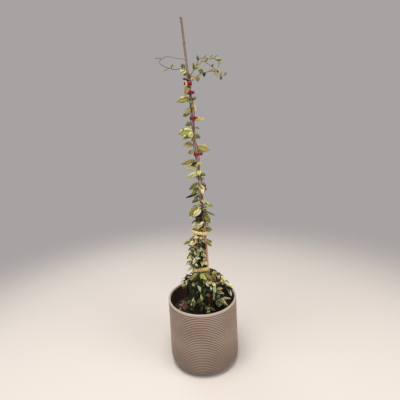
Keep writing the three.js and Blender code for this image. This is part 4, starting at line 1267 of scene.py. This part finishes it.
def leavesOf(stem):
    number, runs, leaves, wanted = stem["number"], stem["runs"], [], 0
    held = vertexTree(stem["node"])

    def grow(tries, spot, tone=None):
        nonlocal wanted
        wanted += 1
        spec = heldTry(tries, held)
        if spec and not isInTheWay(spec):
            leaves.append({**spec, "spot": spot, "tone": tone or toneOf(stem, spec, spot)})

    upper = [(0, placeAtHeight(runs[0], row[0]), *row[1:]) for row in upperLeaves.get(stem["node"], [])]
    for spot, (branch, place, x, y, z, width, tone) in enumerate(upper + topLeaves.get(stem["node"], [])):
        grow(aimedTries(pointAlong(runs[branch], place), (x, y, z), width, number, spot), spot, tone)
    for spot, place, heading, traits in pairPlaces(stem):
        grow(pairTries(pointAlong(runs[0], place), heading, traits, number, spot), spot)
    return leaves, wanted


def pairPlaces(stem):
    number, run, places = stem["number"], stem["runs"][0], []
    traits = pairTraits.get("dry" if stem.get("dry") else stem["kind"])
    if stem["kind"] == "climber":
        for stretch, (low, high, pitch) in enumerate(column, 1):
            pair, end = 0, min(high, stem["top"] - columnRule["belowTop"])
            while low >= stem.get("bareTo", 0) and low + pitch * pair < end:
                for side in (0, 1):
                    heading = math.radians(90 * pair + 180 * side + columnRule["turn"] * number)
                    height = low + pitch * pair + columnRule["unevenness"] * draw(number, pair, side, 9)
                    spot = spots["stretch"] * stretch + 2 * pair + side
                    places.append((spot, placeAtHeight(run, height), heading, traits))
                pair += 1
    if stem["kind"] == "basal":
        for pair in range(bushSet["pairs"]):
            share = pair / (bushSet["pairs"] - 1)
            place = mixNumber(bushSet["firstPair"], len(run) - bushSet["lastPair"], share)
            for side in (-1, 1):
                heading = math.radians(stem["direction"] + side * bushSet["spreads"][pair % 2])
                places.append((2 * pair + (side + 1) // 2, place, heading, traits))
    return places


def worldTree(nodes):  # the solid pieces that a finer leaf has to stay clear of, in millimetres
    points, faces = [], []
    for node in nodes:
        mesh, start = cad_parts[node].data, len(points)
        points += [vertex.co / mm for vertex in mesh.vertices]
        faces += [[start + index for index in polygon.vertices] for polygon in mesh.polygons]
    return BVHTree.FromPolygons(points, faces)


solidPieces = worldTree(["pot", "soil", "bamboo_cane"] + [tie["node"] for tie in ties])
fillSet = {
    "clear": 2.5, "slender": 0.8, "turn": 137.5, "basalPlaces": 6, "basalFrom": 3.6, "basalEnd": 1.3,
    "column": (440, 1200), "columnPitches": (13, 34), "upperFrom": 716, "topGap": 2, "endPlace": 1.02,
    "columnTurn": 60, "endTurn": 40, "core": (376, 716), "corePitches": (9, 9), "coreGap": 4,
    "coreTurn": 25, "corePlaces": 9, "coreAlong": (1.6, 6.0),
    "hollow": ((-70, -4), (240, 372)), "hollowDepth": 20,
}
fillTraits = {
    "basal": {"attempts": 5, "scatter": 120, "droop": 14, "droopSpread": 70, "length": 29},
    "column": {"attempts": 5, "scatter": 160, "droop": 16, "droopSpread": 80, "length": 26},
    "core": {"attempts": 3, "scatter": 160, "droop": 20, "droopSpread": 90, "length": 17},
}
keptClear = [  # what shows between the leaves, as seen, and how far forward a leaf may stand there
    {"x": (16, 44), "height": (236, 306), "front": -20},  # the foot of the cane
    {"x": (-38, 38), "height": (410, 430), "front": -19},  # the lower yellow tie
    {"x": (-32, 30), "height": (580, 602), "front": -19},  # the upper one
    {"x": (19, 33), "height": (598, 676), "front": -6},  # the cane above it
]


def isInTheWay(spec):
    for place in (leafPlace(spec, share) for share in checkedAlong["inTheWay"]):
        x, height = seenPlace(place)
        for gap in keptClear:
            inside = gap["x"][0] < x < gap["x"][1] and gap["height"][0] < height < gap["height"][1]
            if inside and place.y < gap["front"]:
                return True
    return False


def inHollow(spec):  # the dark gap low on the left of the bush
    place = leafPlace(spec, checkedAlong["middle"])
    (left, right), (low, high) = fillSet["hollow"]
    return place.y < fillSet["hollowDepth"] and left < place.x < right and low < place.z < high


def isClear(spec):
    marks = [bladePoint(spec, t, edge) for t in checkedAlong["edges"] for edge in (-1, 1)]
    if any(solidPieces.find_nearest(mark, fillSet["clear"])[0] is not None for mark in marks):
        return False
    along, start = spec["tip"] - spec["base"], checkedAlong["lineFrom"]
    begin, reach = spec["base"] + along * start, along.length * (1 - start)
    return solidPieces.ray_cast(begin, along.normalized(), reach)[0] is None


def upTheStem(stem, kind, span, pitches, turn, traits):  # places wound round a climbing stem
    places, height = [], max(span[0], stem.get("bareTo", 0))
    while height < span[1]:
        i = len(places)
        heading = math.radians(fillSet["turn"] * i + turn * stem["number"])
        places.append((spots[kind] + i, placeAtHeight(stem["runs"][0], height), heading, traits))
        height += pitches[height >= fillSet["upperFrom"]]
    return places


def fillPlaces(stem):
    end, settings = len(stem["runs"][0]), fillSet
    basal, columnTraits, core = (fillTraits[kind] for kind in ("basal", "column", "core"))
    if stem["kind"] == "climber":
        span, pitches = settings["column"], settings["columnPitches"]
        span = span[0], min(stem["top"] - settings["topGap"], span[1])
        places = upTheStem(stem, "filling", span, pitches, settings["columnTurn"], columnTraits)
        for side in (0, 1):  # the pair that ends the stem
            heading = math.radians(180 * side + settings["endTurn"] * stem["number"])
            places.append((spots["end"] + side, end - settings["endPlace"], heading, columnTraits))
        span = settings["core"][0], min(stem["top"] - settings["coreGap"], settings["core"][1])
        return places + upTheStem(stem, "core", span, settings["corePitches"], settings["coreTurn"], core)
    if stem["kind"] == "top" or stem["dry"]:
        return []
    places = []
    for i in range(settings["basalPlaces"]):
        share = i / (settings["basalPlaces"] - 1)
        place = mixNumber(settings["basalFrom"], end - settings["basalEnd"], share)
        for side in (-1, 1):
            heading = math.radians(stem["direction"] + 90 * side)
            places.append((spots["filling"] + 2 * i + (side > 0), place, heading, basal))
    for i in range(settings["corePlaces"]):
        place = mixNumber(*settings["coreAlong"], i / (settings["corePlaces"] - 1))
        heading = math.radians(stem["direction"] + settings["turn"] * i)
        places.append((spots["core"] + i, place, heading, core))
    return places


def fillLeaves(stem):  # single leaves that show, and smaller ones that fill the plant between the pairs
    number, run, leaves = stem["number"], stem["runs"][0], []
    single = [(placeAtHeight(run, row[0]), *row[1:]) for row in frontLeaves.get(stem["node"], [])]
    single += bushLeaves.get(stem["node"], [])
    for spot, (place, x, y, z, width, tone) in enumerate(single, spots["single"]):
        spec = aimedTries(pointAlong(run, place), (x, y, z), width, number, spot)[0]
        leaves.append({**spec, "folded": False, "spot": spot, "tone": tone})
    for spot, place, heading, traits in fillPlaces(stem):
        for spec in pairTries(pointAlong(run, place), heading, traits, number, spot):
            spec["width"] *= fillSet["slender"]
            if isClear(spec) and not isInTheWay(spec) and not inHollow(spec):
                leaves.append({**spec, "spot": spot, "tone": toneOf(stem, spec, spot)})
                break
    return leaves


# The bush hangs a little lower than its solids where they stand above its outline in the photograph

crownSet = {
    "outline": [(-160, 330), (-87, 388), (-71, 397), (-48, 415), (-30, 428), (0, 440), (32, 436), (47, 429),
                (68, 414), (90, 397), (111, 375), (133, 356), (160, 330)],
    "sag": {"basal_shoot_04": 20, "basal_shoot_05": 8, "basal_shoot_10": 19}, "sagFrom": (250, 400),
    "droop": 26, "droopShare": 1.3,
}


def crownHeight(x):
    outline = crownSet["outline"]
    low, high = next((a, b) for a, b in zip(outline, outline[1:]) if x <= b[0] or b is outline[-1])
    return mixNumber(low[1], high[1], (x - low[0]) / (high[0] - low[0]))


def sagged(stem, point):
    depth = crownSet["sag"].get(stem["node"], 0)
    return point - up * depth * smoothStep(point.z, *crownSet["sagFrom"])


def settled(stem, leaf):
    base, tip = sagged(stem, leaf["base"]), sagged(stem, leaf["tip"])
    if stem["kind"] == "basal":
        x, height = seenPlace(tip)
        excess = min(crownSet["droop"], max(0.0, height - crownHeight(x)))
        length = (tip - base).length
        tip = base + (tip - up * excess * crownSet["droopShare"] - base).normalized() * length
    return {**leaf, "base": base, "tip": tip}


def paintAccents(leaves):  # the foremost leaf at each of those places takes the tone
    points, faces = [], []
    for leaf in leaves:
        start = len(points)
        edges = [[bladePoint(leaf, t, edge) for t in checkedAlong["outline"]] for edge in (1, -1)]
        points += [leaf["base"], *edges[0], leaf["tip"], *reversed(edges[1])]
        faces.append(list(range(start, len(points))))
    tree = BVHTree.FromPolygons(points, faces)
    eye = Vector((0, -cameraSet["distance"], cameraSet["height"])) / mm
    for x, height, tone in accents:
        number = tree.ray_cast(eye, Vector((x, 0, height)) - eye)[2]
        if number is not None:
            leaves[number]["tone"] = tone


# One closed blade that every leaf is an instance of: x runs across it, y down it, z is which skin

bladeSet = {"rows": [0.06, 0.18, 0.34, 0.52, 0.7, 0.85, 0.95], "across": [-1, -0.5, 0, 0.5, 1]}


def makeBlade(settings):
    places, faces, index = [], [], {}

    def placeAt(u, v, skin):  # one point for both skins at the edges, and one at either end
        u, skin = (0 if v in (0, 1) else u), (0 if abs(u) == 1 or v in (0, 1) else skin)
        if (u, v, skin) not in index:
            index[(u, v, skin)] = len(places)
            places.append((u, v, skin))
        return index[(u, v, skin)]

    rows, across = [0, *settings["rows"], 1], settings["across"]
    for skin in (1, -1):
        for v, w in zip(rows, rows[1:]):
            for u, s in zip(across, across[1:]):
                corners = [placeAt(*corner, skin) for corner in ((u, v), (u, w), (s, w), (s, v))]
                faces.append(list(dict.fromkeys(corners))[::skin])
    mesh = bpy.data.meshes.new("blade")
    mesh.from_pydata([Vector((u * 0.5, v, skin * 0.01)) for u, v, skin in places], [], faces)
    for number, name in enumerate(("across", "down", "skin")):
        setMark(mesh, name, "FLOAT", [place[number] for place in places])
    uvLayer = mesh.uv_layers.new(name="UVMap")
    for loop in mesh.loops:
        u, v, _ = places[loop.vertex_index]
        uvLayer.data[loop.index].uv = (0.5 + 0.5 * u, v)
    return newPiece("blade", mesh)


# A stem with its leaves: points along the stem and one point for each leaf, with what is known of it

pointMarks = {  # by kind
    "FLOAT": ("girth", "halfWidth", "rise", "curl", "fold", "twist", "marginShare", "leafSeed"),
    "FLOAT_VECTOR": ("root", "along", "face", "side"), "FLOAT_COLOR": ("bodyTint", "marginTint"),
    "BOOLEAN": ("isLeaf",),
}
unmarked = {"BOOLEAN": False, "FLOAT": 0.0, "FLOAT_VECTOR": (0, 0, 0), "FLOAT_COLOR": (0, 0, 0, 1)}
leafForm = {
    "widest": 0.92, "pointed": (0.4, 0.6), "curlFrom": 0.6, "rippleWaves": 15.0, "rippleSeed": 40.0,
    "rippleLean": 1.3, "twistCentre": 0.45,
}


def makeLeafyTree(form):
    tree, given, out = newGeometryTree("leafyStem", [
        ("Blade", "Object", None), ("Stem Sides", "Int", 7), ("Stalk Share", "Float", 0.08),
        ("Stalk Width", "Float", 0.0006), ("Half Thickness", "Float", 0.0002),
        ("Margin Wave", "Float", 0.035), ("Leaf Material", "Material", None),
        ("Stem Material", "Material", None),
    ])
    split = addNode(tree, "GeometryNodeSeparateGeometry", {
        "Geometry": given["Geometry"], "Selection": named(tree, "isLeaf", "BOOLEAN"),
    }).outputs
    line = addNode(tree, "GeometryNodeMeshToCurve", {"Mesh": split[1]}).outputs[0]
    circle = {"Resolution": given["Stem Sides"], "Radius": 1.0}
    ring = addNode(tree, "GeometryNodeCurvePrimitiveCircle", circle).outputs[0]
    tube = addNode(tree, "GeometryNodeCurveToMesh", {
        "Curve": line, "Profile Curve": ring, "Scale": named(tree, "girth"), "Fill Caps": True,
    }).outputs[0]

    blade = addNode(tree, "GeometryNodeObjectInfo", {"Object": given["Blade"]}).outputs["Geometry"]
    leaves = realized(tree, instanced(tree, split[0], blade))
    across, down, skin = (named(tree, name) for name in ("across", "down", "skin"))
    root, along, face, side = (named(tree, name, "FLOAT_VECTOR") for name in pointMarks["FLOAT_VECTOR"])
    length = vectorLength(tree, along)

    reach = remapped(tree, down, given["Stalk Share"], 1.0)
    outline = calc(tree, "SINE", times(tree, calc(tree, "POWER", reach, form["widest"]), math.pi))
    sharpness = timesPlus(tree, reach, *form["pointed"])
    outline = calc(tree, "POWER", calc(tree, "MAXIMUM", outline, 0.0), sharpness)
    stalk = times(tree, given["Stalk Width"], minus(tree, 1.0, down))
    half = timesPlus(tree, outline, named(tree, "halfWidth"), stalk)
    outward = calc(tree, "ABSOLUTE", across)

    hump = times(tree, down, minus(tree, 1.0, down))
    level = times(tree, hump, times(tree, length, times(tree, named(tree, "rise"), 4.0)))
    beyond = calc(tree, "MAXIMUM", minus(tree, down, form["curlFrom"]), 0.0)
    curl = times(tree, times(tree, beyond, beyond), times(tree, length, named(tree, "curl")))
    level = minus(tree, level, curl)
    folded = times(tree, times(tree, outward, half), named(tree, "fold"))
    shift = times(tree, named(tree, "leafSeed"), form["rippleSeed"])
    shift = plus(tree, shift, times(tree, across, form["rippleLean"]))
    ripple = calc(tree, "SINE", timesPlus(tree, down, form["rippleWaves"], shift))
    ripple = times(tree, times(tree, ripple, times(tree, half, outward)), given["Margin Wave"])
    level = plus(tree, level, plus(tree, folded, ripple))
    level = timesPlus(tree, skin, given["Half Thickness"], level)
    twist = times(tree, minus(tree, down, form["twistCentre"]), named(tree, "twist"))
    sideways = times(tree, times(tree, across, half), calc(tree, "COSINE", twist))
    level = plus(tree, level, times(tree, times(tree, across, half), calc(tree, "SINE", twist)))
    place = vectorSum(tree, root, stretched(tree, along, down))
    place = vectorSum(tree, place, stretched(tree, side, sideways))
    place = vectorSum(tree, place, stretched(tree, face, level))
    leaves = addNode(tree, "GeometryNodeSetPosition", {"Geometry": leaves, "Position": place}).outputs[0]

    joined = joinedUp(tree, tube, leaves)
    smooth = addNode(tree, "GeometryNodeSetShadeSmooth", {"Geometry": joined}).outputs[0]
    whole = dressedIn(tree, realized(tree, smooth), given["Stem Material"])
    tree.links.new(dressedIn(tree, whole, given["Leaf Material"], "isLeaf"), out["Geometry"])
    return tree


stemTones = {  # at the foot and at the tip
    # the climbing stems' tones are their dark bark darkened further, as painted shade on the stems round the
    # cane
    "climber": ("2c1b13", "543628"), "top": ("3c2c24", "5e4a36"), "basal": ("3a3a20", "7c7648"),
    "dry": ("5c3b2a", "7d5840"),
}
stemForm = {"sides": 7, "finer": 3, "tipShare": 0.62, "knots": 0.14}
leafHabit = {  # lightness from and by how much, and the most that a leaf curls, folds and twists
    "fresh": {"lightness": (0.8, 0.45), "slender": 1.0, "curl": 0.5, "fold": 0.3, "twist": 0.7},
    "dry": {"lightness": (0.6, 0.8), "slender": 0.55, "curl": 1.2, "fold": 0.5, "twist": 1.6},
}
basalSlender = 0.85


def stemPoints(stem):
    points, edges = [], []
    low, high = (colour(tint) for tint in stemTones["dry" if stem.get("dry") else stem["kind"]])
    for branch, run in enumerate(stem["runs"]):
        fine = smoothRun(run, stemForm["finer"])
        radius = twig["radius"] if branch and stem["kind"] == "climber" else stem["radius"]
        for i, place in enumerate(fine):
            share = i / (len(fine) - 1)
            knot = 1 + stemForm["knots"] * (draw(stem["number"], i, 3, branch) - 0.5)
            girth = radius * mm * mixNumber(1.0, stemForm["tipShare"], share) * knot
            tint = [mixNumber(a, b, share) for a, b in zip(low, high)]
            if i:
                edges.append((len(points) - 1, len(points)))
            points.append({"place": sagged(stem, place), "girth": girth, "bodyTint": tint})
    return points, edges


def leafPoint(stem, leaf):
    habit = leafHabit["dry" if leaf["tone"] == "dry" else "fresh"]
    lightness, curl, fold, twist, seed = (
        draw(stem["number"], leaf["spot"], shapeDraw, trait) for trait in (1, 2, 3, 4, 5))
    along, face, side = leafAxes(leaf)
    *codes, share = leafTones[leaf["tone"]]
    lighter = habit["lightness"][0] + habit["lightness"][1] * lightness
    body, margin = ([*(min(1.0, part * lighter) for part in colour(code)[:3]), 1] for code in codes)
    narrowed = stem["kind"] == "basal" and leaf["spot"] < spots["single"] and leaf["tone"] != "dry"
    slender = basalSlender if narrowed else habit["slender"]
    return {
        "place": leaf["base"], "isLeaf": True, "root": leaf["base"] * mm, "along": along * mm, "face": face,
        "side": side, "halfWidth": leaf["width"] / 2 * mm * slender, "rise": leafRule["rise"],
        "curl": habit["curl"] * curl, "fold": leafRule["fold"] if leaf["folded"] else habit["fold"] * fold,
        "twist": habit["twist"] * (twist - 0.5), "bodyTint": body, "marginTint": margin,
        "marginShare": share, "leafSeed": seed,
    }


def makeLeafyStem(stem, leaves, tree, blade):
    points, edges = stemPoints(stem)
    points += [leafPoint(stem, leaf) for leaf in leaves]
    mesh = bpy.data.meshes.new(stem["node"])
    mesh.from_pydata([point["place"] * mm for point in points], edges, [])
    for kind, names in pointMarks.items():
        for name in names:
            setMark(mesh, name, kind, [point.get(name, unmarked[kind]) for point in points])
    piece = shapedBy(tree, pieceName(stem["node"]), mesh, {
        "Blade": blade, "Stem Sides": stemForm["sides"], "Stem Material": bark,
        "Leaf Material": dryLeafSkin if stem.get("dry") else leafSkin,
    })
    finishPiece(piece, "dried_foliage" if stem.get("dry") else "foliage", stem["node"])


def makePlant():
    tree, blade = makeLeafyTree(leafForm), makeBlade(bladeSet)
    stems, foliage, totals = gatherStems(), [], [0, 0, 0]
    for stem in stems:
        grown, wanted = leavesOf(stem)
        filling = fillLeaves(stem)
        foliage.append([settled(stem, leaf) for leaf in grown + filling])
        totals = [total + count for total, count in zip(totals, (len(grown), wanted, len(filling)))]
    paintAccents([leaf for leaves in foliage for leaf in leaves])
    for stem, leaves in zip(stems, foliage):
        makeLeafyStem(stem, leaves, tree, blade)
    bpy.data.objects.remove(blade)
    kept, tried, small = totals
    print("plant made:", kept, "leaves of", tried, "tried, and", small, "small ones between them")


makePlant()


# Floor, light and surroundings

roomSet = {
    "floor": "ccc8c4", "floorRoughness": 0.85, "floorFade": (2.3, 0.9), "air": "d2cdcc",
    "airStrength": 0.36, "seenStrength": 0.6,
}
lamps = [  # name, place, what it looks at, size, watts, colour
    ("overhead", (-0.2, -0.6, 2.9), (0, 0, 0.6), 1.5, 84, "fff7ee"),
    ("right", (2.1, -1.3, 1.5), (0, 0, 0.6), 1.5, 36, "fdf7f2"),
    ("left", (-2.1, -1.1, 1.4), (0, 0, 0.6), 1.5, 20, "fdf9f6"),
    ("behind", (-1.2, 1.9, 1.9), (0, 0, 0.7), 1.5, 12, "ffffff"),
]


def makeFloor(look):  # a pale floor that fades into the studio's air, so that no horizon shows
    mesh, reach = bpy.data.meshes.new("floor"), look["floorFade"][0]
    corners = [(-reach, -reach, 0), (reach, -reach, 0), (reach, reach, 0), (-reach, reach, 0)]
    mesh.from_pydata(corners, [], [(0, 1, 2, 3)])
    material, tree, shader = newMaterial("paleFloor", look["floorRoughness"])
    shader["Base Color"].default_value = colour(look["floor"])
    low, high = look["floorFade"]
    cover = addNode(tree, "ShaderNodeMapRange", {
        "Value": vectorLength(tree, objectPlace(tree)), "From Min": low, "From Max": high,
    }, interpolation_type="SMOOTHERSTEP").outputs[0]
    tree.links.new(cover, shader["Alpha"])
    mesh.materials.append(material)
    newPiece("floor", mesh)


def makeAir(look):  # a soft studio air, seen lighter than it lights
    world = bpy.data.worlds.new("studio")
    world.use_nodes = True
    tree = world.node_tree
    lighting = tree.nodes["Background"]
    seen = addNode(tree, "ShaderNodeBackground")
    for node, strength in ((lighting, look["airStrength"]), (seen, look["seenStrength"])):
        node.inputs[0].default_value = colour(look["air"])
        node.inputs[1].default_value = strength
    ray = addNode(tree, "ShaderNodeLightPath").outputs["Is Camera Ray"]
    both = addNode(tree, "ShaderNodeMixShader", {0: ray, 1: lighting.outputs[0], 2: seen.outputs[0]})
    tree.links.new(both.outputs[0], tree.nodes["World Output"].inputs[0])
    scene.world = world


def makeLamp(name, place, target, size, watts, tint):
    lamp = bpy.data.objects.new(name, bpy.data.lights.new(name, "AREA"))
    lamp.data.size, lamp.data.energy, lamp.data.color = size, watts, colour(tint)[:3]
    place, target = Vector(place), Vector(target)
    turn = (target - place).to_track_quat("-Z", "Y").to_matrix().to_4x4()
    lamp.matrix_world = Matrix.Translation(place) @ turn
    scene.collection.objects.link(lamp)


makeFloor(roomSet)
scene.view_settings.view_transform = "Standard"
makeAir(roomSet)
for lamp in lamps:
    makeLamp(*lamp)
print("light set")
